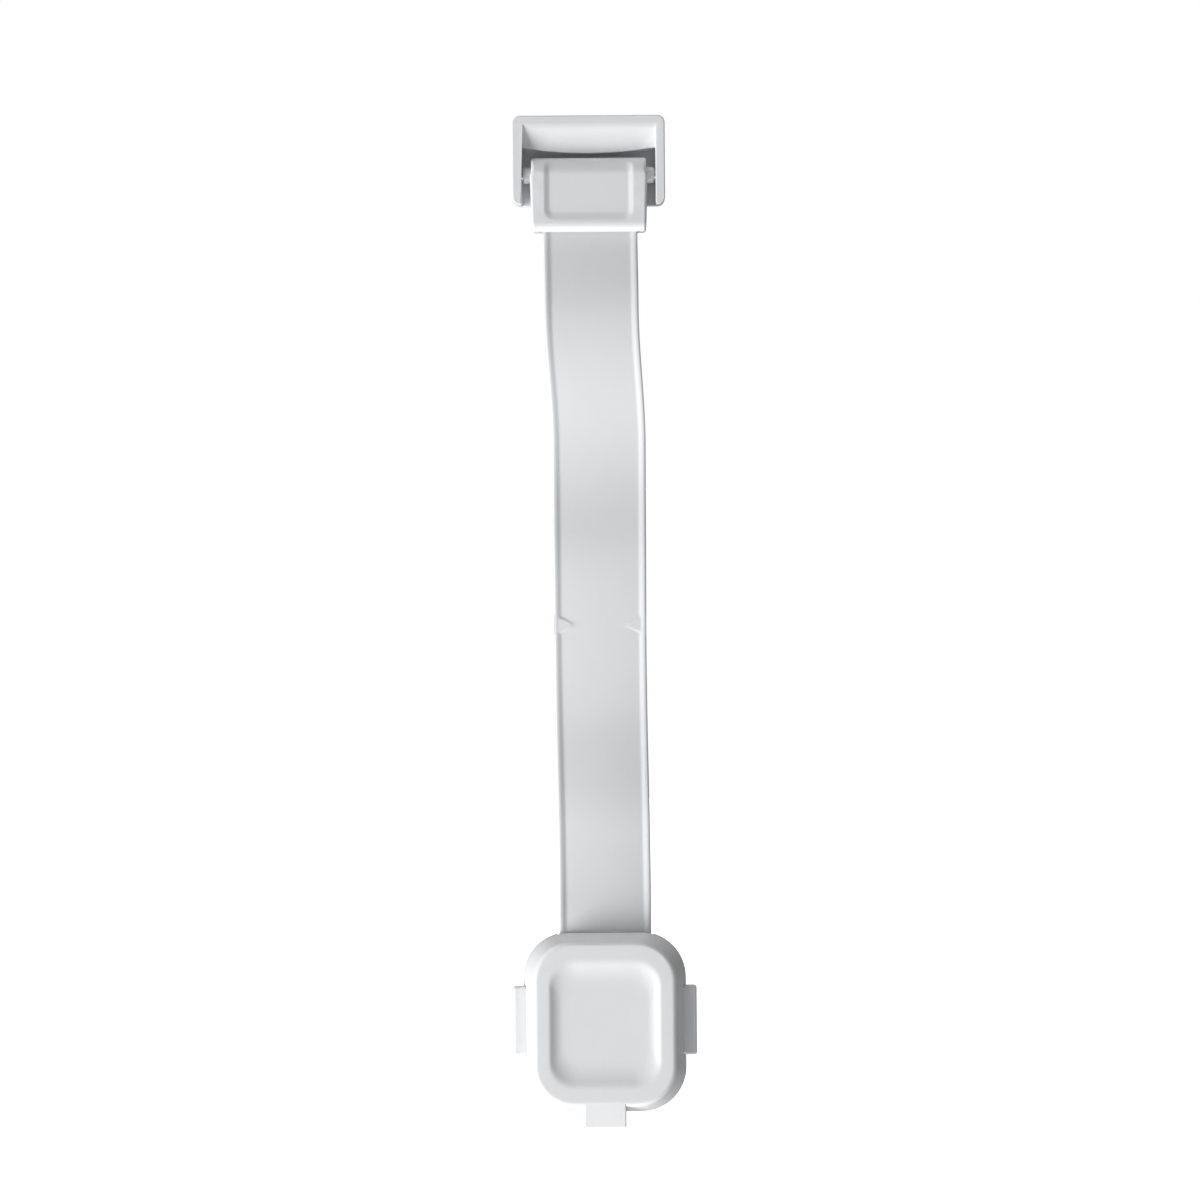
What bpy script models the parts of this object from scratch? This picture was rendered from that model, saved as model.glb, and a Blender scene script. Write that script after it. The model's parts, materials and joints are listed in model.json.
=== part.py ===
"""Strap safety latch: an adhesive anchor tray, a strap end hinged in it, a flexible strap and a latch head.

Metres, +Z up. The object hangs on a wall: the wall is the plane Y = 0 and the front looks along -Y.
The origin is the middle of the anchor pad's back face. Depths are measured from the wall, along -Y.
Neighbouring pieces keep the gap GAP.
"""

import math

import bmesh
import bpy
from mathutils import Matrix, Vector

MM = 0.001
GAP = 0.3 * MM

# Anchor tray
TRAY_HALF_WIDTH = 18.0 * MM
TRAY_HALF_HEIGHT = 10.5 * MM
TRAY_BACK = 1.3 * MM
TRAY_FRONT = 10.5 * MM
TRAY_SIDE_WALL = 2.2 * MM
TRAY_FLOOR = 1.4 * MM
TRAY_TOP_WALL = 1.9 * MM
TRAY_CORNER = 1.8 * MM
TRAY_EDGE = 0.4 * MM
HOOD_LOWER_DEPTH = 7.1 * MM
HOOD_LOWER_Z = 0.8 * MM
HOOD_BELLY = 0.2 * MM
HOOD_EDGE_MIDDLE = 1.8 * MM
HOOD_EDGE_SIDE = 3.1 * MM
HOOD_STEPS = 6
ANCHOR_PAD_HALF_WIDTH = 16 * MM
ANCHOR_PAD_HALF_HEIGHT = 8.8 * MM
ANCHOR_PAD_CORNER = 1.5 * MM
PAD_THICKNESS = 1.0 * MM

# Hinge of the strap end
HINGE_Z = -3.4 * MM
HINGE_DEPTH = 7.1 * MM
BARREL_RADIUS = 4.1 * MM
PIN_RADIUS = 1.0 * MM
PIN_HALF_LENGTH = 17.6 * MM

# Strap end
BLOCK_BOTTOM_Z = -16.9 * MM
BLOCK_BACK = 4.2 * MM
BLOCK_FRONT = 11.1 * MM
BLOCK_HALF_WIDTH_TOP = 14.2 * MM
BLOCK_HALF_WIDTH_BOTTOM = 13.5 * MM
BLOCK_POCKET_FRONT = 8.8 * MM
BLOCK_CORNER = 1.2 * MM
BLOCK_EDGE = 0.5 * MM
BLOCK_DISH_DEPTH = 0.45 * MM
BLOCK_DISH_FLOOR_HALF = (9.4 * MM, 5.4 * MM)
BLOCK_DISH_RIM_HALF = (10.6 * MM, 7.5 * MM)
BLOCK_DISH_CORNER = 1.4 * MM
BLOCK_DISH_Z = -6.9 * MM
BLOCK_DISH_WRAP_STEPS = 5
BLOCK_DISH_WRAP_STEP = 1 * MM
BARREL_HALF_LENGTH = 13.6 * MM
HINGE_BOSS_RADIUS = 1.9 * MM
POCKET_HALF_WIDTH = 12.1 * MM
POCKET_TOP = -8.8 * MM
POCKET_BOTTOM = -15.6 * MM
STRAP_SLOT_BACK = 6.0 * MM
STRAP_SLOT_LEFT = -11.9 * MM
CLAMP_BACK = 4.4 * MM
CLAMP_EDGE = 0.3 * MM
STRAP_BOSS_BACK = 6.4 * MM
STRAP_PILOT_FRONT = 9.1 * MM
STRAP_SCREW_X = 7.0 * MM
STRAP_SCREW_Z = -12.0 * MM
STRAP_SCREW_TIP = 8.8 * MM

# Strap
STRAP_HALF_WIDTH = 11.0 * MM
STRAP_RIB_WIDTH = 0.6 * MM
STRAP_RIB_SLOPE = 1.5 * MM
STRAP_RIB_HALF = 0.9 * MM
STRAP_WEB_HALF = 0.55 * MM
STRAP_TOP_Z = -9.2 * MM
STRAP_FOLD_Z = -109.7 * MM
STRAP_SEGMENT = 3.5 * MM
MARK_HALF_HEIGHT = 2.6 * MM
MARK_REACH = 3.6 * MM
MARK_TIP_HALF = 0.7 * MM
FOLD_THIN = 0.15 * MM
FOLD_RISE = 3.2 * MM
FOLD_REACH = 2.0 * MM
# (z, value) stops in millimetres of the strap's depth and of its middle line's X
STRAP_WAVES = [(-17.5, 7.3), (-36.5, 9.5), (-77.0, 3.0), (-94.0, 4.0), (-127.7, 2.3), (-158.0, 5.4)]
STRAP_WAVES += [(-178.0, 5.6)]
STRAP_BOWS = [(-17.5, 0.3), (-34.0, 0.45), (-68.0, 2.0), (-110.0, 2.0), (-176.0, 2.7)]

# Latch head, measured from its middle
HEAD_X = 2.5 * MM
HEAD_Z = -203.6 * MM
HEAD_HALF_WIDTH = 19.2 * MM
HEAD_HALF_HEIGHT = 21.15 * MM
HEAD_CORNER = 10.6 * MM
HEAD_BACK = 3.6 * MM
HEAD_FRONT = 13.0 * MM
HEAD_TAPER_DEPTH = 6.9 * MM
HEAD_TAPER = (0.87, 0.9125)
HEAD_WALL = 1.6 * MM
HEAD_INNER_FRONT = 10.4 * MM
HEAD_EDGE = 0.6 * MM
HEAD_BOSS_BACK = 5.3 * MM
HEAD_BOSS_FRONT = 11.0 * MM
HEAD_PILOT_FRONT = 10.2 * MM
SHELF_HALF_WIDTH = 11.4 * MM
SHELF_BACK = 6.9 * MM
SHELF_TOP = 19.2 * MM
MOUTH_HALF_WIDTH = 11.4 * MM
MOUTH_BOTTOM = 17.0 * MM
WINDOW_INNER = 15.0 * MM
DISH_FLOOR_HALF = (10.4 * MM, 13.2 * MM)
DISH_RIM_HALF = (13.4 * MM, 15.3 * MM)
DISH_FLOOR_CORNER = 3.4 * MM
DISH_DEPTH = 1.05 * MM
BACK_PLATE_BACK = 3.5 * MM
BACK_PLATE_FRONT = 5.0 * MM
BACK_PLATE_HALF_WIDTH = 16.8 * MM
BACK_PLATE_HALF_HEIGHT = 18.9 * MM
BACK_PLATE_CORNER = 8.5 * MM
BACK_PLATE_CUT_FRONT = 6.0 * MM
HOOK_SLOT_INNER = 7.4 * MM
HOOK_SLOT_OUTER = 11.2 * MM
HOOK_SLOT_HALF_HEIGHT = 3.9 * MM
TAB_X = -0.1 * MM
TAB_HALF_WIDTH = 5.0 * MM
TAB_BOTTOM = -24.6 * MM
TAB_ROOT = -18.2 * MM
TAB_BACK = 6.5 * MM
TAB_LIP_FRONT = 11.7 * MM
TAB_ROOT_FRONT = 12.9 * MM

# Strap's end in the head
HEAD_STRAP_X = 2.7 * MM
TONGUE_BOTTOM = 14.4 * MM
PEG_RADIUS = 1.4 * MM
PEG_X = 6.0 * MM
PEG_Z = 17.0 * MM
PEG_FRONT = 8.6 * MM
BAR_HALF_WIDTH = 11.2 * MM
BAR_BACK = 3.6 * MM
BAR_FRONT = 4.4 * MM
BAR_BOTTOM = 14.4 * MM
BAR_TOP = 19.4 * MM
BAR_NOTCH_HALF_WIDTH = 11.8 * MM
BAR_NOTCH_BOTTOM = 14.0 * MM

# Buttons and their springs, measured from the head's middle
BUTTON_OUTER = 21.7 * MM
BUTTON_HALF_HEIGHT = 8.25 * MM
BUTTON_RAISE = 0.5 * MM
BUTTON_EDGE = 0.7 * MM
BUTTON_BACK = 5.4 * MM
BUTTON_FRONT = 8.4 * MM
BUTTON_FOOT_FRONT = 9.6 * MM
FLANGE_INNER = 14.5 * MM
FLANGE_OUTER = 15.9 * MM
FLANGE_HALF_HEIGHT = 9.0 * MM
FLANGE_FRONT = 8.6 * MM
BUTTON_FOOT = 13.0 * MM
BUTTON_FOOT_HALF_HEIGHT = 5.0 * MM
SPRING_SEAT = 5.0 * MM
SPRING_SEAT_HALF_HEIGHT = 2.5 * MM
SPRING_SEAT_FRONT = 9.8 * MM
SPRING_DEPTH = 8.2 * MM
SPRING_RADIUS = 1.2 * MM
SPRING_WIRE_RADIUS = 0.2 * MM
SPRING_TURNS = 6

# Catch on the door
CATCH_BACK = 1.3 * MM
CATCH_FRONT = 3.0 * MM
CATCH_HALF_WIDTH = 15.0 * MM
CATCH_HALF_HEIGHT = 17.0 * MM
CATCH_CORNER = 7.5 * MM
CATCH_PAD_HALF_WIDTH = 13.0 * MM
CATCH_PAD_HALF_HEIGHT = 15.0 * MM
CATCH_PAD_CORNER = 6.0 * MM
HOOK_INNER = 9.4 * MM
HOOK_OUTER = 10.6 * MM
HOOK_NOSE = 12.2 * MM
HOOK_HALF_HEIGHT = 3.5 * MM
HOOK_TOP = 6.4 * MM
HOOK_NOSE_BACK = 5.4 * MM
HOOK_NOSE_FRONT = 5.6 * MM
HOOK_SOCKET_BACK = 2.0 * MM

# Screws
SCREW_SHANK_RADIUS = 0.75 * MM
SCREW_HEAD_RADIUS = 1.6 * MM
SCREW_HEAD_HEIGHT = 0.7 * MM
PILOT_RADIUS = SCREW_SHANK_RADIUS + GAP
BOSS_RADIUS = 1.9 * MM
SCREW_SLOT_DEPTH = 0.25 * MM
SCREW_SLOT_ARM = 0.8 * MM
SCREW_SLOT_HALF = 0.15 * MM
HEAD_SCREW_BACK = 3.6 * MM
HEAD_SCREW_TIP = 9.6 * MM
HEAD_SCREWS = [(x * MM, z * MM) for x, z in ((-13.0, 11.6), (13.0, 11.6), (-11.5, -15.0), (11.5, -15.0))]

ROUND_STEPS = 24
CORNER_STEPS = 6
BEYOND = 20 * MM

# Outline planes: a front view (X, Z) thick along depth, a side view (depth, Z) thick along -X,
# and a view from above (X, depth) thick along -Z.
FRONT_VIEW = Matrix(((1, 0, 0, 0), (0, 0, -1, 0), (0, 1, 0, 0), (0, 0, 0, 1)))
SIDE_VIEW = Matrix(((0, 0, -1, 0), (-1, 0, 0, 0), (0, 1, 0, 0), (0, 0, 0, 1)))
TOP_VIEW = Matrix(((1, 0, 0, 0), (0, -1, 0, 0), (0, 0, -1, 0), (0, 0, 0, 1)))

WHITE_PLASTIC = ("white_plastic", (0.80, 0.81, 0.83, 1.0), 0.35, 0.0)
INNER_PLASTIC = ("inner_plastic", (0.74, 0.75, 0.77, 1.0), 0.45, 0.0)
STRAP_PLASTIC = ("strap_plastic", (0.78, 0.79, 0.80, 1.0), 0.42, 0.0)
FOAM_TAPE = ("foam_tape", (0.70, 0.70, 0.69, 1.0), 0.9, 0.0)
STEEL = ("steel", (0.62, 0.62, 0.63, 1.0), 0.3, 1.0)


def clear_scene():
    for obj in list(bpy.data.objects):
        bpy.data.objects.remove(obj)
    for collection in list(bpy.data.collections):
        bpy.data.collections.remove(collection)


def make_collection(name):
    collection = bpy.data.collections.new(name)
    bpy.context.scene.collection.children.link(collection)
    return collection


def place(x, depth, z):
    """A point from its X, its depth in front of the wall and its Z."""
    return Vector((x, -depth, z))


def add_object(name, bm):
    """A new object in the cutters' collection, from a bmesh in world coordinates."""
    bmesh.ops.recalc_face_normals(bm, faces=bm.faces)
    mesh = bpy.data.meshes.new(name)
    bm.to_mesh(mesh)
    bm.free()
    obj = bpy.data.objects.new(name, mesh)
    CUTTERS.objects.link(obj)
    obj.hide_render = True
    obj.display_type = "WIRE"
    return obj


def block(name, low, high):
    """A box between two corners, each given as (x, depth, z)."""
    bm = bmesh.new()
    bmesh.ops.create_cube(bm, size=1)
    a, b = place(*low), place(*high)
    bmesh.ops.scale(bm, vec=[abs(v) for v in b - a], verts=bm.verts)
    bmesh.ops.translate(bm, vec=(a + b) / 2, verts=bm.verts)
    return add_object(name, bm)


def rod(name, radius, start, end, steps=ROUND_STEPS):
    """A cylinder between two points, each given as (x, depth, z)."""
    a, b = place(*start), place(*end)
    turn = Vector((0, 0, 1)).rotation_difference(b - a).to_matrix().to_4x4()
    bm = bmesh.new()
    bmesh.ops.create_cone(
        bm,
        cap_ends=True,
        segments=steps,
        radius1=radius,
        radius2=radius,
        depth=(b - a).length,
        matrix=Matrix.Translation((a + b) / 2) @ turn,
    )
    return add_object(name, bm)


def prism(name, outline, low, high, view, taper=(1, 1), centre=(0, 0), taper_from=None):
    """A flat outline in a view's plane, thick from low to high.

    taper scales its high face about centre; the sides stay straight up to taper_from, if it is given.
    """
    curve = bpy.data.curves.new(name, "CURVE")
    curve.dimensions = "2D"
    curve.fill_mode = "BOTH"
    curve.extrude = (high - low) / 2
    spline = curve.splines.new("POLY")
    spline.points.add(len(outline) - 1)
    for point, (u, v) in zip(spline.points, outline):
        point.co = (u, v, 0, 1)
    spline.use_cyclic_u = True
    guide = bpy.data.objects.new(name, curve)
    CUTTERS.objects.link(guide)
    depsgraph = bpy.context.evaluated_depsgraph_get()
    bm = bmesh.new()
    bm.from_mesh(bpy.data.meshes.new_from_object(guide.evaluated_get(depsgraph)))
    bpy.data.objects.remove(guide)
    bmesh.ops.remove_doubles(bm, verts=bm.verts, dist=0.01 * MM)
    bmesh.ops.dissolve_limit(bm, angle_limit=math.radians(1), verts=bm.verts, edges=bm.edges)
    if taper_from is not None:
        geometry = [*bm.verts, *bm.edges, *bm.faces]
        start = taper_from - (low + high) / 2
        bmesh.ops.bisect_plane(bm, geom=geometry, plane_co=(0, 0, start), plane_no=(0, 0, 1))
    about = Matrix.Translation((centre[0], centre[1], 0))
    high_verts = [v for v in bm.verts if v.co.z > (high - low) / 2 - 0.01 * MM]
    bmesh.ops.scale(bm, vec=(*taper, 1), space=about.inverted(), verts=high_verts)
    bmesh.ops.transform(bm, matrix=view @ Matrix.Translation((0, 0, (low + high) / 2)), verts=bm.verts)
    return add_object(name, bm)


def raise_face(obj, depth, distance):
    """Moves the face at a depth further to the front, so that a cutter passes right through a surface."""
    for vert in obj.data.vertices:
        if vert.co.y < -depth + GAP / 2:
            vert.co.y -= distance


def arc(centre, radius, start, end, steps=CORNER_STEPS):
    """Points on an arc between two angles in degrees."""
    angles = [math.radians(start + (end - start) * i / steps) for i in range(steps + 1)]
    return [(centre[0] + radius * math.cos(a), centre[1] + radius * math.sin(a)) for a in angles]


def rounded_rectangle(half_x, half_z, radius, centre=(0, 0), steps=CORNER_STEPS):
    points = []
    for start, side_x, side_z in ((0, 1, 1), (90, -1, 1), (180, -1, -1), (270, 1, -1)):
        corner = (centre[0] + side_x * (half_x - radius), centre[1] + side_z * (half_z - radius))
        points += arc(corner, radius, start, start + 90, steps)
    return points


def combine(obj, other, operation):
    """Applies a Boolean with another object, which stays behind as a hidden cutter."""
    modifier = obj.modifiers.new(other.name, "BOOLEAN")
    modifier.object = other
    modifier.operation = operation
    modifier.solver = "EXACT"


def cut(obj, *cutters):
    for cutter in cutters:
        combine(obj, cutter, "DIFFERENCE")


def join(obj, *others):
    for other in others:
        combine(obj, other, "UNION")


def round_edges(obj, width, segments=2, angle=40):
    modifier = obj.modifiers.new("rounded edges", "BEVEL")
    modifier.width = width
    modifier.segments = segments
    modifier.limit_method = "ANGLE"
    modifier.angle_limit = math.radians(angle)


def finish(obj, material, parent=None):
    """Moves a piece from the cutters to the latch, under its joint's empty, with its own material."""
    name, colour, roughness, metallic = material
    CUTTERS.objects.unlink(obj)
    LATCH.objects.link(obj)
    obj.hide_render = False
    obj.display_type = "TEXTURED"
    finish_material = bpy.data.materials.new(f"{obj.name}_{name}")
    finish_material.use_nodes = True
    shader = finish_material.node_tree.nodes["Principled BSDF"]
    shader.inputs["Base Color"].default_value = colour
    shader.inputs["Roughness"].default_value = roughness
    shader.inputs["Metallic"].default_value = metallic
    obj.data.materials.clear()
    obj.data.materials.append(finish_material)
    if obj.type == "MESH":
        obj.data.shade_smooth()
        obj.data.set_sharp_from_angle(angle=math.radians(35))
    if parent:
        obj.parent = parent
        obj.matrix_parent_inverse = Matrix.Translation(parent.location).inverted()
    return obj


def joint_empty(name, location):
    """An empty on a joint, which carries the pieces that move with it."""
    empty = bpy.data.objects.new(name, None)
    empty.location = location
    empty.empty_display_size = 5 * MM
    LATCH.objects.link(empty)
    return empty


def ease(z, stops):
    """A smooth value at height z, level at each of the stops (z, value), which run downwards."""
    if z >= stops[0][0]:
        return stops[0][1]
    for (z0, value0), (z1, value1) in zip(stops, stops[1:]):
        if z >= z1:
            share = (z0 - z) / (z0 - z1)
            return value0 + (value1 - value0) * (1 - math.cos(math.pi * share)) / 2
    return stops[-1][1]


def strap_depth(z):
    """Depth of the strap's middle plane: it waves gently between the strap end and the head."""
    return ease(z, [(height * MM, depth * MM) for height, depth in STRAP_WAVES])


def strap_x(z):
    """Sideways place of the strap's middle line: it bows to +X on its way to the head."""
    return ease(z, [(height * MM, bow * MM) for height, bow in STRAP_BOWS])


def make_anchor():
    tray = prism(
        "anchor_base",
        rounded_rectangle(TRAY_HALF_WIDTH, TRAY_HALF_HEIGHT, TRAY_CORNER),
        TRAY_BACK,
        TRAY_FRONT,
        FRONT_VIEW,
    )
    round_edges(tray, TRAY_EDGE)
    cut(tray, hood_cutter(), recess_cutter())
    hinge = (HINGE_DEPTH, HINGE_Z)
    cut(tray, rod("anchor_bore", PIN_RADIUS + GAP, (-BEYOND, *hinge), (BEYOND, *hinge)))
    finish(tray, WHITE_PLASTIC)

    pad_outline = rounded_rectangle(ANCHOR_PAD_HALF_WIDTH, ANCHOR_PAD_HALF_HEIGHT, ANCHOR_PAD_CORNER)
    finish(prism("anchor_adhesive_pad", pad_outline, 0, PAD_THICKNESS, FRONT_VIEW), FOAM_TAPE)
    finish(rod("hinge_pin", PIN_RADIUS, (-PIN_HALF_LENGTH, *hinge), (PIN_HALF_LENGTH, *hinge)), STEEL)


def hood_cutter():
    """Clears everything in front of the hood's hollow slope and below it."""
    ceiling = TRAY_HALF_HEIGHT - TRAY_TOP_WALL
    outline = [(HOOD_LOWER_DEPTH, -BEYOND), (TRAY_FRONT + BEYOND, -BEYOND), (TRAY_FRONT + BEYOND, ceiling)]
    for i in range(HOOD_STEPS + 1):
        share = i / HOOD_STEPS
        depth = TRAY_FRONT + (HOOD_LOWER_DEPTH - TRAY_FRONT) * share - HOOD_BELLY * math.sin(math.pi * share)
        outline.append((depth, ceiling + (HOOD_LOWER_Z - ceiling) * share))
    inner_half = TRAY_HALF_WIDTH - TRAY_SIDE_WALL
    return prism("anchor_hood", outline, -inner_half, inner_half, SIDE_VIEW)


def recess_cutter():
    """Clears the room of the barrel down to the tray's floor, with a bowed top edge."""
    inner_half = TRAY_HALF_WIDTH - TRAY_SIDE_WALL
    outline = [(-inner_half, -BEYOND), (inner_half, -BEYOND)]
    for i in range(2 * HOOD_STEPS + 1):
        side = 1 - i / HOOD_STEPS
        z = HOOD_EDGE_MIDDLE + (HOOD_EDGE_SIDE - HOOD_EDGE_MIDDLE) * side**2
        outline.append((inner_half * side, z))
    return prism("anchor_recess", outline, TRAY_BACK + TRAY_FLOOR, TRAY_FRONT, FRONT_VIEW)


def make_screw(name, x, z, back, tip, parent):
    """A pan-head screw driven from behind: its head starts at depth back and its shank ends at depth tip."""
    under_head = back + SCREW_HEAD_HEIGHT
    screw = rod(name, SCREW_HEAD_RADIUS, (x, back, z), (x, under_head, z), 16)
    join(screw, rod(f"{name}_shank", SCREW_SHANK_RADIUS, (x, under_head - GAP / 2, z), (x, tip, z), 12))
    arm, half = SCREW_SLOT_ARM, SCREW_SLOT_HALF
    for tag, half_x, half_z in (("slot", arm, half), ("cross", half, arm)):
        low = (x - half_x, back - GAP, z - half_z)
        cut(screw, block(f"{name}_{tag}", low, (x + half_x, back + SCREW_SLOT_DEPTH, z + half_z)))
    finish(screw, STEEL, parent)


def make_strap_end(parent):
    corner = BLOCK_HALF_WIDTH_BOTTOM - BLOCK_CORNER, BLOCK_BOTTOM_Z + BLOCK_CORNER
    body = prism(
        "strap_end_housing",
        [
            (-BLOCK_HALF_WIDTH_TOP, HINGE_Z + BLOCK_EDGE),
            *arc((-corner[0], corner[1]), BLOCK_CORNER, 180, 270, 3),
            *arc(corner, BLOCK_CORNER, 270, 360, 3),
            (BLOCK_HALF_WIDTH_TOP, HINGE_Z + BLOCK_EDGE),
        ],
        BLOCK_BACK,
        BLOCK_FRONT,
        FRONT_VIEW,
    )
    round_edges(body, BLOCK_EDGE)
    hinge = (HINGE_DEPTH, HINGE_Z)
    boss_end = TRAY_HALF_WIDTH - TRAY_SIDE_WALL - GAP
    for name, radius, half_length in (
        ("barrel", BARREL_RADIUS, BARREL_HALF_LENGTH),
        ("hinge_bosses", HINGE_BOSS_RADIUS, boss_end),
    ):
        join(body, rod(name, radius, (-half_length, *hinge), (half_length, *hinge), 32))
    cut(body, rod("barrel_bore", PIN_RADIUS + GAP, (-BEYOND, *hinge), (BEYOND, *hinge)))
    dish = prism(
        "strap_end_dish",
        rounded_rectangle(*BLOCK_DISH_FLOOR_HALF, BLOCK_DISH_CORNER, (0, BLOCK_DISH_Z), 3),
        BLOCK_FRONT - BLOCK_DISH_DEPTH,
        BLOCK_FRONT,
        FRONT_VIEW,
        [rim / floor for rim, floor in zip(BLOCK_DISH_RIM_HALF, BLOCK_DISH_FLOOR_HALF)],
        (0, BLOCK_DISH_Z),
    )
    raise_face(dish, BLOCK_FRONT, 1 * MM)
    wrap_round_barrel(dish)
    pocket_low = (-POCKET_HALF_WIDTH, BLOCK_BACK - 1 * MM, POCKET_BOTTOM)
    pocket = block("strap_end_pocket", pocket_low, (POCKET_HALF_WIDTH, BLOCK_POCKET_FRONT, POCKET_TOP))
    slot_low = (STRAP_SLOT_LEFT, STRAP_SLOT_BACK, BLOCK_BOTTOM_Z - 1 * MM)
    slot = block("strap_end_slot", slot_low, (POCKET_HALF_WIDTH, BLOCK_POCKET_FRONT, POCKET_TOP))
    cut(body, dish, pocket, slot)
    for tag, x in (("left", -STRAP_SCREW_X), ("right", STRAP_SCREW_X)):
        boss_end = (x, STRAP_PILOT_FRONT + 0.1 * MM, STRAP_SCREW_Z)
        join(body, rod(f"boss_{tag}", BOSS_RADIUS, (x, STRAP_BOSS_BACK, STRAP_SCREW_Z), boss_end))
        pilot_end = (x, STRAP_PILOT_FRONT, STRAP_SCREW_Z)
        cut(body, rod(f"pilot_{tag}", PILOT_RADIUS, (x, BLOCK_BACK, STRAP_SCREW_Z), pilot_end, 16))
    finish(body, WHITE_PLASTIC, parent)
    make_strap_end_clamp(parent)


def wrap_round_barrel(cutter):
    """Bends the part of a cutter above the hinge round the barrel."""
    bm = bmesh.new()
    bm.from_mesh(cutter.data)
    for i in range(BLOCK_DISH_WRAP_STEPS):
        level = (0, 0, HINGE_Z + (i + 0.15) * BLOCK_DISH_WRAP_STEP)
        bmesh.ops.bisect_plane(bm, geom=[*bm.verts, *bm.edges, *bm.faces], plane_co=level, plane_no=(0, 0, 1))
    for vert in bm.verts:
        rise = vert.co.z - HINGE_Z
        if rise > 0:
            radius, angle = -vert.co.y - HINGE_DEPTH, rise / BARREL_RADIUS
            vert.co.y = -HINGE_DEPTH - radius * math.cos(angle)
            vert.co.z = HINGE_Z + radius * math.sin(angle)
    bm.to_mesh(cutter.data)
    bm.free()


def make_strap_end_clamp(parent):
    """The plate behind the strap's end, held by two screws."""
    low = (-POCKET_HALF_WIDTH + GAP, CLAMP_BACK, POCKET_BOTTOM + GAP)
    clamp = block("strap_end_clamp", low, (POCKET_HALF_WIDTH - GAP, STRAP_SLOT_BACK, POCKET_TOP - GAP))
    round_edges(clamp, CLAMP_EDGE, 1)
    sink_end = CLAMP_BACK + SCREW_HEAD_HEIGHT + GAP
    z = STRAP_SCREW_Z
    for tag, x in (("left", -STRAP_SCREW_X), ("right", STRAP_SCREW_X)):
        cut(clamp, rod(f"clamp_sink_{tag}", SCREW_HEAD_RADIUS + GAP, (x, 0, z), (x, sink_end, z), 16))
        cut(clamp, rod(f"clamp_hole_{tag}", PILOT_RADIUS, (x, 0, z), (x, BLOCK_FRONT, z), 16))
        make_screw(f"strap_end_screw_{tag}", x, z, CLAMP_BACK, STRAP_SCREW_TIP, parent)
    finish(clamp, INNER_PLASTIC, parent)


def strap_section():
    """(x, height) points round the strap's section: a thin web with a thicker rib along each edge."""
    inner = STRAP_HALF_WIDTH - STRAP_RIB_WIDTH
    upper = [
        (STRAP_HALF_WIDTH, STRAP_RIB_HALF),
        (inner, STRAP_RIB_HALF),
        (inner - STRAP_RIB_SLOPE, STRAP_WEB_HALF),
    ]
    front = upper + [(-x, y) for x, y in reversed(upper)]
    return front + [(-x, -y) for x, y in front]


def make_strap(name, top, bottom):
    """One length of strap, bent to the strap's curve, with a raised mark at each side of its fold end."""
    length = top - bottom
    count = round(length / STRAP_SEGMENT)
    strap = prism(name, strap_section(), -top, -bottom, TOP_VIEW)
    bm = bmesh.new()
    bm.from_mesh(strap.data)
    for i in range(1, count):
        bmesh.ops.bisect_plane(
            bm,
            geom=[*bm.verts, *bm.edges, *bm.faces],
            plane_co=(0, 0, top - length * i / count),
            plane_no=(0, 0, 1),
        )
    for vert in bm.verts:
        vert.co += place(strap_x(vert.co.z), strap_depth(vert.co.z), 0)
    bm.to_mesh(strap.data)
    bm.free()
    join(strap, *[fold_mark(name, side) for side in (-1, 1)])
    away = 1 if bottom == STRAP_FOLD_Z else -1
    cut(strap, *[fold_bevel(name, side, away) for side in (-1, 1)])
    return strap


def fold_mark(name, side):
    """A raised triangle that points inwards from one edge of the strap at its fold."""
    edge = strap_x(STRAP_FOLD_Z) + side * (STRAP_HALF_WIDTH - 0.1 * MM)
    tip = edge - side * MARK_REACH
    outline = [
        (edge, STRAP_FOLD_Z + MARK_HALF_HEIGHT),
        (tip, STRAP_FOLD_Z + MARK_TIP_HALF),
        (tip, STRAP_FOLD_Z - MARK_TIP_HALF),
        (edge, STRAP_FOLD_Z - MARK_HALF_HEIGHT),
    ]
    middle = strap_depth(STRAP_FOLD_Z)
    return prism(f"{name}_mark_{side}", outline, middle, middle + STRAP_RIB_HALF - 0.05 * MM, FRONT_VIEW)


def fold_bevel(name, side, away):
    """Clears a strap's end above (away = 1) or below (away = -1) the fold to a thin edge, on one face."""
    middle = strap_depth(STRAP_FOLD_Z)
    reach = side * FOLD_REACH
    outline = [
        (middle, STRAP_FOLD_Z + away * FOLD_THIN),
        (middle + reach, STRAP_FOLD_Z + away * (FOLD_THIN + FOLD_RISE)),
        (middle + reach, STRAP_FOLD_Z - away * BEYOND),
        (middle, STRAP_FOLD_Z - away * BEYOND),
    ]
    return prism(f"{name}_bevel_{side}", outline, -BEYOND, BEYOND, SIDE_VIEW)


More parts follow.
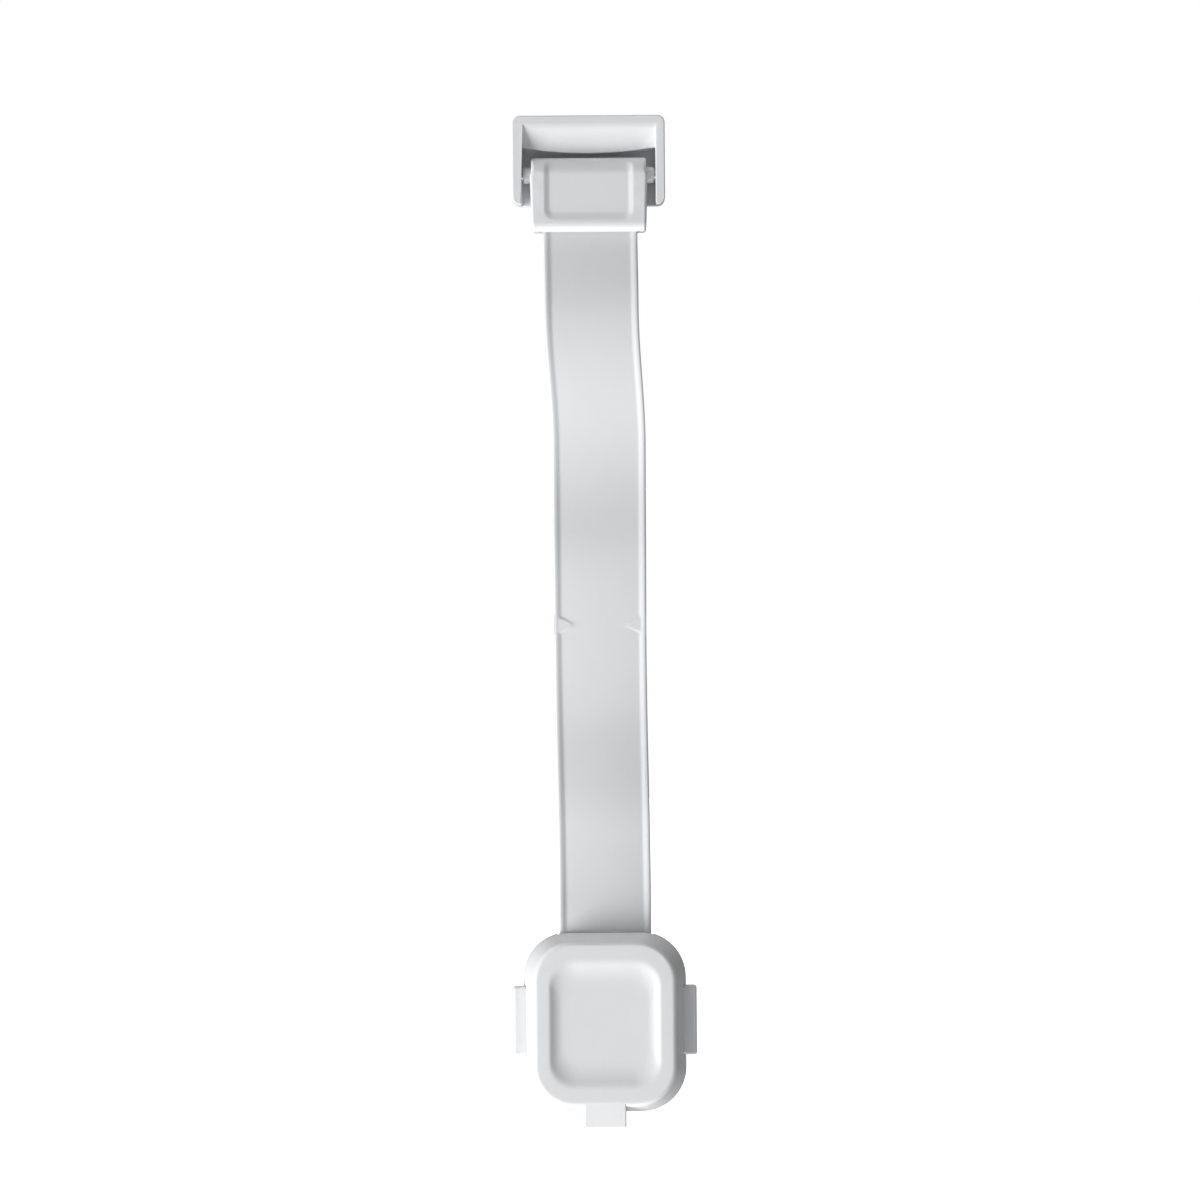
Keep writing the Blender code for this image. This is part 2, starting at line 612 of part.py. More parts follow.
def make_latch_cover(parent):
    middle = (HEAD_X, HEAD_Z)
    cover = prism(
        "latch_cover",
        rounded_rectangle(HEAD_HALF_WIDTH, HEAD_HALF_HEIGHT, HEAD_CORNER, middle, 8),
        HEAD_BACK,
        HEAD_FRONT,
        FRONT_VIEW,
        HEAD_TAPER,
        middle,
        HEAD_TAPER_DEPTH,
    )
    round_edges(cover, HEAD_EDGE, 2, 50)
    tab_x = HEAD_X + TAB_X
    tab_outline = [
        (TAB_BACK, HEAD_Z + TAB_ROOT),
        (TAB_BACK, HEAD_Z + TAB_BOTTOM),
        (TAB_LIP_FRONT, HEAD_Z + TAB_BOTTOM),
        (TAB_ROOT_FRONT, HEAD_Z + TAB_ROOT),
    ]
    tab = prism("lift_tab", tab_outline, -tab_x - TAB_HALF_WIDTH, -tab_x + TAB_HALF_WIDTH, SIDE_VIEW)
    join(cover, tab)
    cavity_share = (HEAD_INNER_FRONT - HEAD_TAPER_DEPTH) / (HEAD_FRONT - HEAD_TAPER_DEPTH)
    cavity_taper = [1 - (1 - t) * cavity_share for t in HEAD_TAPER]
    cavity = prism(
        "head_cavity",
        rounded_rectangle(
            HEAD_HALF_WIDTH - HEAD_WALL, HEAD_HALF_HEIGHT - HEAD_WALL, HEAD_CORNER - HEAD_WALL, middle, 8
        ),
        HEAD_BACK - GAP,
        HEAD_INNER_FRONT,
        FRONT_VIEW,
        cavity_taper,
        middle,
        HEAD_TAPER_DEPTH,
    )
    dish = prism(
        "head_dish",
        rounded_rectangle(*DISH_FLOOR_HALF, DISH_FLOOR_CORNER, middle),
        HEAD_FRONT - DISH_DEPTH,
        HEAD_FRONT,
        FRONT_VIEW,
        [rim / floor for rim, floor in zip(DISH_RIM_HALF, DISH_FLOOR_HALF)],
        middle,
    )
    raise_face(dish, HEAD_FRONT, 0.4 * MM)
    cut(cover, cavity, dish)
    shelf = block(
        "strap_shelf",
        (HEAD_STRAP_X - SHELF_HALF_WIDTH, SHELF_BACK, HEAD_Z + TONGUE_BOTTOM - GAP),
        (HEAD_STRAP_X + SHELF_HALF_WIDTH, HEAD_BOSS_FRONT, HEAD_Z + SHELF_TOP),
    )
    join(cover, shelf)
    for number, (x, z) in enumerate(HEAD_SCREWS, 1):
        x, z = HEAD_X + x, HEAD_Z + z
        boss_start, boss_end = (x, HEAD_BOSS_BACK, z), (x, HEAD_BOSS_FRONT, z)
        join(cover, rod(f"head_boss_{number}", BOSS_RADIUS, boss_start, boss_end, 20))
        pilot_start, pilot_end = (x, HEAD_BACK, z), (x, HEAD_PILOT_FRONT, z)
        cut(cover, rod(f"head_pilot_{number}", PILOT_RADIUS, pilot_start, pilot_end, 16))
    for side in (-1, 1):
        x = HEAD_STRAP_X + side * PEG_X
        z = HEAD_Z + PEG_Z
        cut(cover, rod(f"peg_hole_{side}", PEG_RADIUS + GAP, (x, HEAD_BACK, z), (x, PEG_FRONT + GAP, z), 16))
        window = BUTTON_HALF_HEIGHT + GAP
        cut(
            cover,
            block(
                f"button_window_{side}",
                (HEAD_X + side * WINDOW_INNER, HEAD_BACK - 1 * MM, HEAD_Z + BUTTON_RAISE - window),
                (HEAD_X + side * BEYOND, BUTTON_FRONT + GAP, HEAD_Z + BUTTON_RAISE + window),
            ),
        )
    cut(
        cover,
        block(
            "strap_mouth",
            (HEAD_STRAP_X - MOUTH_HALF_WIDTH, HEAD_BACK - 1 * MM, HEAD_Z + MOUTH_BOTTOM),
            (HEAD_STRAP_X + MOUTH_HALF_WIDTH, SHELF_BACK, HEAD_Z + MOUTH_BOTTOM + BEYOND),
        ),
    )
    finish(cover, WHITE_PLASTIC, parent)


def make_back_plate(parent):
    middle = (HEAD_X, HEAD_Z)
    plate = prism(
        "latch_back_plate",
        rounded_rectangle(BACK_PLATE_HALF_WIDTH, BACK_PLATE_HALF_HEIGHT, BACK_PLATE_CORNER, middle, 6),
        BACK_PLATE_BACK,
        BACK_PLATE_FRONT,
        FRONT_VIEW,
    )
    seat = block(
        "spring_seat",
        (HEAD_X - SPRING_SEAT, BACK_PLATE_FRONT - GAP, HEAD_Z - SPRING_SEAT_HALF_HEIGHT),
        (HEAD_X + SPRING_SEAT, SPRING_SEAT_FRONT, HEAD_Z + SPRING_SEAT_HALF_HEIGHT),
    )
    join(plate, seat)
    for side in (-1, 1):
        cut(
            plate,
            block(
                f"hook_slot_{side}",
                (HEAD_X + side * HOOK_SLOT_INNER, 0, HEAD_Z - HOOK_SLOT_HALF_HEIGHT),
                (HEAD_X + side * HOOK_SLOT_OUTER, BACK_PLATE_CUT_FRONT, HEAD_Z + HOOK_SLOT_HALF_HEIGHT),
            ),
        )
    cut(
        plate,
        block(
            "clamp_bar_notch",
            (HEAD_STRAP_X - BAR_NOTCH_HALF_WIDTH, 0, HEAD_Z + BAR_NOTCH_BOTTOM),
            (HEAD_STRAP_X + BAR_NOTCH_HALF_WIDTH, BACK_PLATE_CUT_FRONT, HEAD_Z + BAR_NOTCH_BOTTOM + BEYOND),
        ),
    )
    for number, (x, z) in enumerate(HEAD_SCREWS, 1):
        x, z = HEAD_X + x, HEAD_Z + z
        sink_end = HEAD_SCREW_BACK + SCREW_HEAD_HEIGHT + GAP
        cut(plate, rod(f"plate_sink_{number}", SCREW_HEAD_RADIUS + GAP, (x, 0, z), (x, sink_end, z), 16))
        cut(plate, rod(f"plate_hole_{number}", PILOT_RADIUS, (x, 0, z), (x, BACK_PLATE_CUT_FRONT, z), 16))
        make_screw(f"latch_screw_{number}", x, z, HEAD_SCREW_BACK, HEAD_SCREW_TIP, parent)
    finish(plate, INNER_PLASTIC, parent)


def make_strap_clamp_bar(parent):
    bar = block(
        "strap_clamp_bar",
        (HEAD_STRAP_X - BAR_HALF_WIDTH, BAR_BACK, HEAD_Z + BAR_BOTTOM),
        (HEAD_STRAP_X + BAR_HALF_WIDTH, BAR_FRONT, HEAD_Z + BAR_TOP),
    )
    for side in (-1, 1):
        x = HEAD_STRAP_X + side * PEG_X
        z = HEAD_Z + PEG_Z
        join(bar, rod(f"peg_{side}", PEG_RADIUS, (x, BAR_FRONT - GAP / 2, z), (x, PEG_FRONT, z), 16))
    finish(bar, INNER_PLASTIC, parent)


def make_button(side, parent):
    tag = "left" if side < 0 else "right"

    def across(name, inner, outer, middle, half_height, front):
        return block(
            name,
            (HEAD_X + side * inner, BUTTON_BACK, middle - half_height),
            (HEAD_X + side * outer, front, middle + half_height),
        )

    pad_middle = HEAD_Z + BUTTON_RAISE
    button = across(
        f"{tag}_button", FLANGE_OUTER - 0.5 * MM, BUTTON_OUTER, pad_middle, BUTTON_HALF_HEIGHT, BUTTON_FRONT
    )
    round_edges(button, BUTTON_EDGE)
    flange = across(f"{tag}_flange", FLANGE_INNER, FLANGE_OUTER, pad_middle, FLANGE_HALF_HEIGHT, FLANGE_FRONT)
    foot_half = BUTTON_FOOT_HALF_HEIGHT
    foot = across(f"{tag}_foot", BUTTON_FOOT, FLANGE_INNER + GAP, HEAD_Z, foot_half, BUTTON_FOOT_FRONT)
    join(button, flange, foot)
    finish(button, WHITE_PLASTIC, parent)


def make_spring(side, parent):
    """A compression spring from the back plate's seat to the button's foot."""
    tag = "left" if side < 0 else "right"
    start = SPRING_SEAT + GAP + SPRING_WIRE_RADIUS
    end = BUTTON_FOOT - GAP - SPRING_WIRE_RADIUS
    steps_per_turn = 12
    curve = bpy.data.curves.new(f"{tag}_button_spring", "CURVE")
    curve.dimensions = "3D"
    curve.bevel_depth = SPRING_WIRE_RADIUS
    curve.bevel_resolution = 2
    curve.use_fill_caps = True
    spline = curve.splines.new("POLY")
    count = SPRING_TURNS * steps_per_turn
    spline.points.add(count)
    for i, point in enumerate(spline.points):
        angle = math.tau * i / steps_per_turn
        x = HEAD_X + side * (start + (end - start) * i / count)
        depth = SPRING_DEPTH + SPRING_RADIUS * math.cos(angle)
        z = HEAD_Z + SPRING_RADIUS * math.sin(angle)
        point.co = (*place(x, depth, z), 1)
    spring = bpy.data.objects.new(f"{tag}_button_spring", curve)
    CUTTERS.objects.link(spring)
    finish(spring, STEEL, parent)


def make_catch(parent):
    middle = (HEAD_X, HEAD_Z)
    base = prism(
        "catch_base",
        rounded_rectangle(CATCH_HALF_WIDTH, CATCH_HALF_HEIGHT, CATCH_CORNER, middle),
        CATCH_BACK,
        CATCH_FRONT,
        FRONT_VIEW,
    )
    for side in (-1, 1):
        tag = "left" if side < 0 else "right"
        cut(
            base,
            block(
                f"hook_socket_{tag}",
                (HEAD_X + side * (HOOK_INNER - GAP), HOOK_SOCKET_BACK, HEAD_Z - HOOK_HALF_HEIGHT - GAP),
                (HEAD_X + side * (HOOK_OUTER + GAP), CATCH_FRONT + 1 * MM, HEAD_Z + HOOK_HALF_HEIGHT + GAP),
            ),
        )
        outline = [
            (HOOK_INNER, HOOK_SOCKET_BACK + GAP),
            (HOOK_OUTER, HOOK_SOCKET_BACK + GAP),
            (HOOK_OUTER, HOOK_NOSE_BACK),
            (HOOK_NOSE, HOOK_NOSE_BACK),
            (HOOK_NOSE, HOOK_NOSE_FRONT),
            (HOOK_OUTER, HOOK_TOP),
            (HOOK_INNER, HOOK_TOP),
        ]
        hook = prism(
            f"catch_hook_{tag}",
            [(HEAD_X + side * across, depth) for across, depth in outline],
            -HEAD_Z - HOOK_HALF_HEIGHT,
            -HEAD_Z + HOOK_HALF_HEIGHT,
            TOP_VIEW,
        )
        finish(hook, INNER_PLASTIC, parent)
    finish(base, WHITE_PLASTIC, parent)
    pad_outline = rounded_rectangle(CATCH_PAD_HALF_WIDTH, CATCH_PAD_HALF_HEIGHT, CATCH_PAD_CORNER, middle)
    finish(prism("catch_adhesive_pad", pad_outline, 0, PAD_THICKNESS, FRONT_VIEW), FOAM_TAPE, parent)


clear_scene()
LATCH = make_collection("strap_safety_latch")
CUTTERS = make_collection("cutters")
CUTTERS.hide_render = True

make_anchor()

strap_end_pivot = joint_empty("strap_end_pivot", place(0, HINGE_DEPTH, HINGE_Z))
make_strap_end(strap_end_pivot)
strap_upper = make_strap("strap_upper", STRAP_TOP_Z, STRAP_FOLD_Z)
for side in (-1, 1):
    hole_start, hole_end = ((side * STRAP_SCREW_X, depth, STRAP_SCREW_Z) for depth in (0, BEYOND))
    cut(strap_upper, rod(f"strap_upper_hole_{side}", BOSS_RADIUS + GAP, hole_start, hole_end, 16))
finish(strap_upper, STRAP_PLASTIC, strap_end_pivot)

strap_fold = joint_empty("strap_fold", place(strap_x(STRAP_FOLD_Z), strap_depth(STRAP_FOLD_Z), STRAP_FOLD_Z))
strap_lower = make_strap("strap_lower", STRAP_FOLD_Z, HEAD_Z + TONGUE_BOTTOM)
for side in (-1, 1):
    hole_x = HEAD_STRAP_X + side * PEG_X
    hole_start, hole_end = ((hole_x, depth, HEAD_Z + PEG_Z) for depth in (0, BEYOND))
    cut(strap_lower, rod(f"strap_lower_hole_{side}", PEG_RADIUS + GAP, hole_start, hole_end, 16))
finish(strap_lower, STRAP_PLASTIC, strap_fold)
make_latch_cover(strap_fold)
make_back_plate(strap_fold)
make_strap_clamp_bar(strap_fold)
for side, tag in ((-1, "left"), (1, "right")):
    press_place = place(HEAD_X + side * BUTTON_OUTER, BUTTON_BACK, HEAD_Z)
    make_button(side, joint_empty(f"{tag}_button_press", press_place))
    make_spring(side, strap_fold)
make_catch(joint_empty("catch_release", place(HEAD_X, CATCH_FRONT, HEAD_Z)))
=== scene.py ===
"""Looks of the strap safety latch: moulded shells, a flexible ribbed strap, steel fasteners and foam tape.

Metres, +Z up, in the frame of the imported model: the wall is the plane Y = 0 and the front looks along -Y.
Depths are measured from the wall, along -Y. Where a comment says so, X and Z are counted from the middle of
the latch head.
"""

import json
import math

import bmesh
import bpy
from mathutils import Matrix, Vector

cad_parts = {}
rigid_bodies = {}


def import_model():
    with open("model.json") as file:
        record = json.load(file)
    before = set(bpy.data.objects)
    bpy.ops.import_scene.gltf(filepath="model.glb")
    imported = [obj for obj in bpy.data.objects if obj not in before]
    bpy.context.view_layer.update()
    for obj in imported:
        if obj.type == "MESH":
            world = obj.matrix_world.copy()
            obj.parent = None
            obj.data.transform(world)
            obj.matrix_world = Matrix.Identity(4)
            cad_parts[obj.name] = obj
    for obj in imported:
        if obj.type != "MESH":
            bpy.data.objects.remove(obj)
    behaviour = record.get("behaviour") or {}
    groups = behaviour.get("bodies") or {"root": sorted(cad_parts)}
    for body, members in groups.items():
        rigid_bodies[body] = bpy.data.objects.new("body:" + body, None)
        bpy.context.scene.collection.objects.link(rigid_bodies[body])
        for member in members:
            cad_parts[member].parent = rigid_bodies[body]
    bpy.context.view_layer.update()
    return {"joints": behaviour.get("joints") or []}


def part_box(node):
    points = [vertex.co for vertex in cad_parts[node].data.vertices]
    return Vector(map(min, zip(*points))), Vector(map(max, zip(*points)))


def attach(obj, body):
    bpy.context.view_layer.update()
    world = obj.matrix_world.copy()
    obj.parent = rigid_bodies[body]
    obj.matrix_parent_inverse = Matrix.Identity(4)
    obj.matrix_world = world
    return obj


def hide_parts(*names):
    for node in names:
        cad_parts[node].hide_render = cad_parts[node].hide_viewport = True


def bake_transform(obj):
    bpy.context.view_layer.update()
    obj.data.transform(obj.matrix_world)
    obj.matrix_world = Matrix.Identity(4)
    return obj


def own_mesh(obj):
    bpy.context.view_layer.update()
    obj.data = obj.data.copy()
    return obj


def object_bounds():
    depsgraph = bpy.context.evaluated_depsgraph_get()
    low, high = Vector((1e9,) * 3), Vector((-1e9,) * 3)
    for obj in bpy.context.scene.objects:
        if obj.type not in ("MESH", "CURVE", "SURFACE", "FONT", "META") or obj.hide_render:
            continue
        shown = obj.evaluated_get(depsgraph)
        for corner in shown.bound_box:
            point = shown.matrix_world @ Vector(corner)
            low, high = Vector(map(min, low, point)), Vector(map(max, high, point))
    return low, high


MM = 0.001
BEYOND = 5 * MM
PLATE_CORNER_LEAST = 0.05 * MM
SMOOTH_ANGLE = 32
SHARP_ANGLE = 40

# Anchor tray
TRAY_SIDE_WALL = 2.2 * MM
TRAY_FLOOR = 1.4 * MM
TRAY_TOP_WALL = 1.9 * MM
TRAY_CORNER = 1.8 * MM
TRAY_EDGE = 0.3 * MM
HOOD_LOWER_DEPTH = 7.1 * MM
HOOD_LOWER_Z = 0.8 * MM
HOOD_BELLY = 0.2 * MM
HOOD_EDGE_MIDDLE = 1.8 * MM
HOOD_EDGE_SIDE = 3.1 * MM
HOOD_STEPS = 12

# Foam pads: (share of the thickness, how far the side is drawn in)
PAD_SECTIONS = ((0.0, 0.0), (0.08, 0.10), (0.35, 0.0), (0.5, -0.02), (0.75, 0.06), (1.0, 0.0))
PAD_INSET = 0.02 * MM
ANCHOR_PAD_CORNER = 1.5 * MM
CATCH_PAD_CORNER = 6.0 * MM

# Hinge of the strap end
HINGE_Z = -3.4 * MM
HINGE_DEPTH = 7.1 * MM
HINGE = (HINGE_DEPTH, HINGE_Z)
BARREL_RADIUS = 4.1 * MM
BARREL_ARC = (120, 0)
HINGE_BOSS_RADIUS = 1.9 * MM
HINGE_BOSS_CHAMFER = 0.3 * MM
PIN_RADIUS = 1.15 * MM
PIN_CHAMFER = 0.2 * MM
BORE_RADIUS = 1.3 * MM
BORE_REACH = 20 * MM

# Strap end
BLOCK_HALF_WIDTH_TOP = 14.2 * MM
BLOCK_HALF_WIDTH_BOTTOM = 13.5 * MM
BLOCK_WAIST = 0.6 * MM
BLOCK_WAIST_Z = (HINGE_Z - 0.8 * MM, HINGE_Z + 1.2 * MM)
BLOCK_BACK = 4.2 * MM
BLOCK_BACK_TOP = HINGE_Z - 1.6 * MM
BLOCK_FRONT = 11.2 * MM
BLOCK_FRONT_FILLET = 2.2 * MM
BLOCK_BACK_FILLET = 0.4 * MM
BLOCK_SIDE_FILLET = 0.7 * MM
BLOCK_SIDE_REACH = (3.3 * MM, 8.6 * MM)
POCKET_LOW = (-12.1 * MM, 2 * MM, -15.6 * MM)
POCKET_HIGH = (12.1 * MM, 8.8 * MM, -8.8 * MM)
STRAP_SLOT_LOW = (-11.9 * MM, 6.0 * MM, -20 * MM)
STRAP_SLOT_HIGH = (12.1 * MM, 8.8 * MM, -12 * MM)

# The block's dish: half width, half height, corner radius and middle Z of its rim and of its floor
BLOCK_DISH_RIM = (10.8 * MM, 8.1 * MM, 2.8 * MM, -6.5 * MM)
BLOCK_DISH_FLOOR = (9.1 * MM, 5.05 * MM, 0.8 * MM, -7.05 * MM)
BLOCK_DISH_DEPTH = 0.45 * MM
BLOCK_DISH_ABOVE = 0.8 * MM
BLOCK_DISH_OVERLAP = 0.01 * MM
BLOCK_DISH_STEPS = 10
WRAP_LEVELS = 12
WRAP_LEVEL_STEP = 0.45 * MM

# Strap: (Z, depth), (Z, X) and (Z, widening) stops, in mm but for the widening
STRAP_WAVES = (
    (-17.5, 7.3), (-36.5, 9.5), (-77.0, 3.0), (-94.0, 4.0), (-127.7, 2.3), (-158.0, 5.4), (-178.0, 5.6),
)
STRAP_BOWS = ((-17.5, 0.3), (-34.0, 0.45), (-68.0, 2.0), (-110.0, 2.0), (-176.0, 2.7))
STRAP_WIDENINGS = ((-20.0, 1.016), (-160.0, 0.992))
STRAP_HALF_WIDTH = 10.95 * MM
STRAP_RIB_HALF = 0.9 * MM
STRAP_WEB_HALF = 0.6 * MM
STRAP_EDGE = 0.4 * MM
STRAP_STEP = 1.0 * MM
STRAP_FINE_STEP = 0.16 * MM
RIB_TOP_WIDTH = 0.6 * MM
RIB_SLOPE_WIDTH = 1.3 * MM
RIB_SLOPE_STEPS = 6
WEB_HALF_WIDTH = 9.0 * MM
WEB_STATIONS = (0.0, 2.0, 4.0, 5.5, 6.5, 6.9, 7.2, 7.4, 7.6, 7.8, 8.0, 8.2, 8.4, 8.6, 8.8)
WEB_CROWNS = ((-60.0, 0.08), (-135.0, 0.26))
GUSSET_REACH = 4.3 * MM
GUSSET_HALF_HEIGHT = 2.6 * MM
GUSSET_MARGIN = 1.0 * MM
GUSSET_BLUNT = 0.5 * MM
GUSSET_SLOPE = 0.9 * MM
GUSSET_RISES = (0.8, 0.5)
STRAP_SCREW_X = 7 * MM
STRAP_SCREW_Z = -12 * MM
STRAP_SCREW_HOLE = 2.2 * MM
DRILL_FRONT = 14 * MM
PEG_X = 6 * MM
PEG_RADIUS = 1.4 * MM
PEG_HOLE = 1.7 * MM
PEG_FROM_STRAP_END = 2.6 * MM
PEG_FROM_BAR_MIDDLE = 0.1 * MM
PEG_CHAMFER = 0.3 * MM

# Latch head
HEAD_CORNER = 10.6 * MM
HEAD_CORNER_SHRINK = 0.11
HEAD_CORNER_STEPS = 16
HEAD_TAPER_DEPTH = 6.9 * MM
HEAD_TAPER = (0.87, 0.9125)
HEAD_KNEE = 0.5 * MM
HEAD_WALL = 1.6 * MM
HEAD_INNER_FRONT = 10.4 * MM
HEAD_INNER_FILLET = 0.8 * MM
HEAD_BACK_FILLET = 0.35 * MM
HEAD_BACK_LEAD = 0.2 * MM
HEAD_FILLET = 1.25 * MM
HEAD_FILLET_LAG = 0.6
DISH_HALF_WIDTH = 13.5 * MM
DISH_HALF_HEIGHT = 15.6 * MM
DISH_SLOPE_X = 3.8 * MM
DISH_SLOPE_Z = 7.2 * MM
DISH_DEPTH = 0.98 * MM
DISH_CORNER = 6.2 * MM
DISH_CORNER_SHRINK = 2.2 * MM

# The head's hollow: half sizes, corner radii and depths, and how far it narrows at its front
CAVITY_HALF = (16.9 * MM, 19.1 * MM)
CAVITY_CORNERS = (8.4 * MM, 7.6 * MM)
CAVITY_DEPTHS = (2 * MM, 7 * MM, HEAD_INNER_FRONT - 0.05 * MM)
CAVITY_NARROWING = (1.2 * MM, 1.0 * MM)

# Lift tab, from the head's middle; the corners of its sloping front are (depth, Z) points
TAB_X = -0.1 * MM
TAB_HALF_WIDTH = 5.0 * MM
TAB_TOP = -17 * MM
TAB_BACK = 6.5 * MM
TAB_TIP_DEPTH = 11.7 * MM
TAB_FRONT_POINTS = ((12.85 * MM, -19.2 * MM), (12.95 * MM, -18.2 * MM))
TAB_EDGE = 0.4 * MM
TAB_TRIM_HALF_WIDTH = 8 * MM
TAB_TRIM_DEPTHS = (6 * MM, 13 * MM)
TAB_TRIM_DROP = 0.2 * MM

# Button windows and strap mouth, from the head's middle
WINDOW_X = (15 * MM, 24 * MM)
WINDOW_FRONT = 8.5 * MM
WINDOW_GAP = 0.08 * MM
MOUTH_GAP = 0.35 * MM
MOUTH_FRONT = 6.8 * MM
MOUTH_Z = (17 * MM, 24 * MM)

# Squeeze buttons, from the head's middle
BUTTON_HALF_HEIGHT = 8.25 * MM
BUTTON_RAISE = 0.5 * MM
BUTTON_BACK = 5.4 * MM
BUTTON_FRONT = 8.4 * MM
BUTTON_CORNER = 0.7 * MM
BUTTON_CORNER_LEAST = 0.08 * MM
BUTTON_EDGE = 0.65 * MM
BUTTON_INNER = 15.4 * MM
FLANGE_X = (14.5 * MM, 15.9 * MM)
FLANGE_FRONT = 8.6 * MM
FLANGE_HALF_HEIGHT = 9 * MM
FOOT_X = (13.0 * MM, 14.8 * MM)
FOOT_FRONT = 9.6 * MM
FOOT_HALF_HEIGHT = 5 * MM

# Catch, from the head's middle
CATCH_CORNER = 7.5 * MM
CATCH_EDGES = (0.15 * MM, 0.5 * MM)
HOOK_INNER = 9.4 * MM
HOOK_OUTER = 10.6 * MM
HOOK_NOSE = 12.2 * MM
HOOK_NOSE_DEPTHS = (5.4 * MM, 5.6 * MM)
HOOK_EDGE = 0.12 * MM
HOOK_PRESSED_TO = 7.8 * MM
SOCKET_GAP = 0.05 * MM
SOCKET_DEPTHS = (2.2 * MM, 5 * MM)

# Back plate, from the head's middle; the ejector marks are (X, Z, radius) in mm
BACK_PLATE_FRONT = 5.0 * MM
BACK_PLATE_CORNER = 8.5 * MM
BACK_PLATE_EDGES = (0.3 * MM, 0.15 * MM)
BACK_PLATE_CUT = (2 * MM, 7 * MM)
SEAT_HALF = (5 * MM, 2.5 * MM)
SEAT_SINK = 0.3 * MM
SEAT_EDGE = 0.2 * MM
HOOK_SLOT_X = (7.4 * MM, 11.2 * MM)
HOOK_SLOT_HALF_HEIGHT = 3.9 * MM
BAR_NOTCH_SIDE = 0.5 * MM
BAR_NOTCH_BELOW = 0.4 * MM
BAR_NOTCH_ABOVE = 6 * MM
EJECTOR_MARKS = ((0, -9.5, 1.6), (-5.0, 9.5, 1.3), (5.0, 9.5, 1.3))
EJECTOR_DEPTH = 0.12 * MM

# Clamp plate and clamp bar
CLAMP_CORNER = 0.8 * MM
CLAMP_EDGES = (0.25 * MM, 0.15 * MM)
CLAMP_SINK_RADIUS = 1.85 * MM
CLAMP_HOLE_REACH = 9 * MM
BAR_CORNER = 0.6 * MM
BAR_EDGES = (0.2 * MM, 0.15 * MM)
BAR_THICKNESS = 0.8 * MM
PEG_ROOT = 0.5 * MM

# Screws: the head's profile is (share of its radius, height)
SCREW_SIDES = 32
SCREW_HEAD_RADIUS = 1.6 * MM
SCREW_HEAD_HEIGHT = 0.7 * MM
SCREW_HEAD_PROFILE = ((0.55, 0.0), (0.8, 0.05 * MM), (0.94, 0.17 * MM), (1.0, 0.36 * MM), (1.0, 0.65 * MM))
SCREW_HEAD_LIP = 0.05 * MM
SCREW_CROSS = (0.85 * MM, 0.17 * MM, 0.42 * MM)
SCREW_SINK_RADIUS = 1.9 * MM
SCREW_SINK_DEPTH = 1.0 * MM
SCREW_HOLE_RADIUS = 1.0 * MM
THREAD_PITCH = 0.6 * MM
THREAD_CORE = 0.52 * MM
THREAD_CREST = 0.75 * MM
THREAD_STEPS = 72
THREAD_POINT = 1.2 * MM
THREAD_POINT_LEAST = 0.12

# Button springs
SPRING_WIRE = 0.2 * MM
SPRING_TURNS = 7
SPRING_STEPS_PER_TURN = 32
SPRING_WIRE_SIDES = 10
SPRING_CLOSING = 0.11

# Plastic: shade of its specks, how much lighter the painted highlight on its edges is, and how much smoother
# the worn edges are
SPECK_SHADE = 0.93
EDGE_HIGHLIGHT_LIFT = 1.03
WORN_POLISH = 0.08

# Photographer's set: each light is (name, direction from the object, distance, size, share)
CAMERA_DISTANCE = 1.27
CAMERA_LENS = 160.3
CAMERA_ROLL = 0.4
CAMERA_TARGET = Vector((1.99 * MM, 0, -103.8 * MM))
FLOOR_DROP = 34 * MM
FLOOR_HALF_WIDTH = 3.0
FLOOR_GLOW = 1.2
WORLD_STRENGTH = 0.218
PURE_WHITE = (1.0, 1.0, 1.0, 1.0)
LIGHTS = (
    ("key", (-0.76, -0.43, -0.5), 1.5, 0.85, 1.19),
    ("under_fill", (0.0, -0.27, -1.0), 1.5, 0.9, 0.45),
    ("top_left_fill", (-0.5, -0.3, 0.8), 1.5, 0.9, 0.31),
    ("top_fill", (0.0, -0.1, 1.0), 1.5, 0.9, 0.10),
)

SIDES = ((-1, "left"), (1, "right"))
HEAD_SCREWS = range(1, 5)


def place(x, depth, z):
    """A point from its X, its depth in front of the wall and its Z."""
    return Vector((x, -depth, z))


class NodeRange:
    """The box of a CAD node: its X range, depths, Z range, half sizes and middle (X, Z)."""

    def __init__(self, name):
        low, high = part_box(name)
        self.low_x, self.high_x = low.x, high.x
        self.depths = self.back, self.front = -high.y, -low.y
        self.low_z, self.high_z = low.z, high.z
        self.halves = self.half_x, self.half_z = (high.x - low.x) / 2, (high.z - low.z) / 2
        self.middle = ((low.x + high.x) / 2, (low.z + high.z) / 2)


# Mesh helpers


def make_piece(name, bm, smooth_angle=SMOOTH_ANGLE):
    """An object from a bmesh in world coordinates, shaded smooth except along its sharp edges."""
    bmesh.ops.recalc_face_normals(bm, faces=bm.faces)
    mesh = bpy.data.meshes.new(name)
    bm.to_mesh(mesh)
    bm.free()
    piece = bpy.data.objects.new(name, mesh)
    bpy.context.scene.collection.objects.link(piece)
    shade(piece, smooth_angle)
    return piece


def shade(piece, smooth_angle=SMOOTH_ANGLE):
    """Smooth shading, but for edges sharper than an angle in degrees."""
    piece.data.shade_smooth()
    piece.data.set_sharp_from_angle(angle=math.radians(smooth_angle))


def loft_piece(name, rings, smooth_angle=SMOOTH_ANGLE):
    """Skins closed rings of equal length, and closes the first and the last."""
    bm = bmesh.new()
    loops = [[bm.verts.new(point) for point in ring] for ring in rings]
    for near, far in zip(loops, loops[1:]):
        for i in range(len(near)):
            j = (i + 1) % len(near)
            bm.faces.new((near[i], near[j], far[j], far[i]))
    bm.faces.new(loops[0])
    bm.faces.new(loops[-1])
    return make_piece(name, bm, smooth_angle)


def shares(steps):
    """Evenly spaced numbers from 0 to 1."""
    return [i / steps for i in range(steps + 1)]


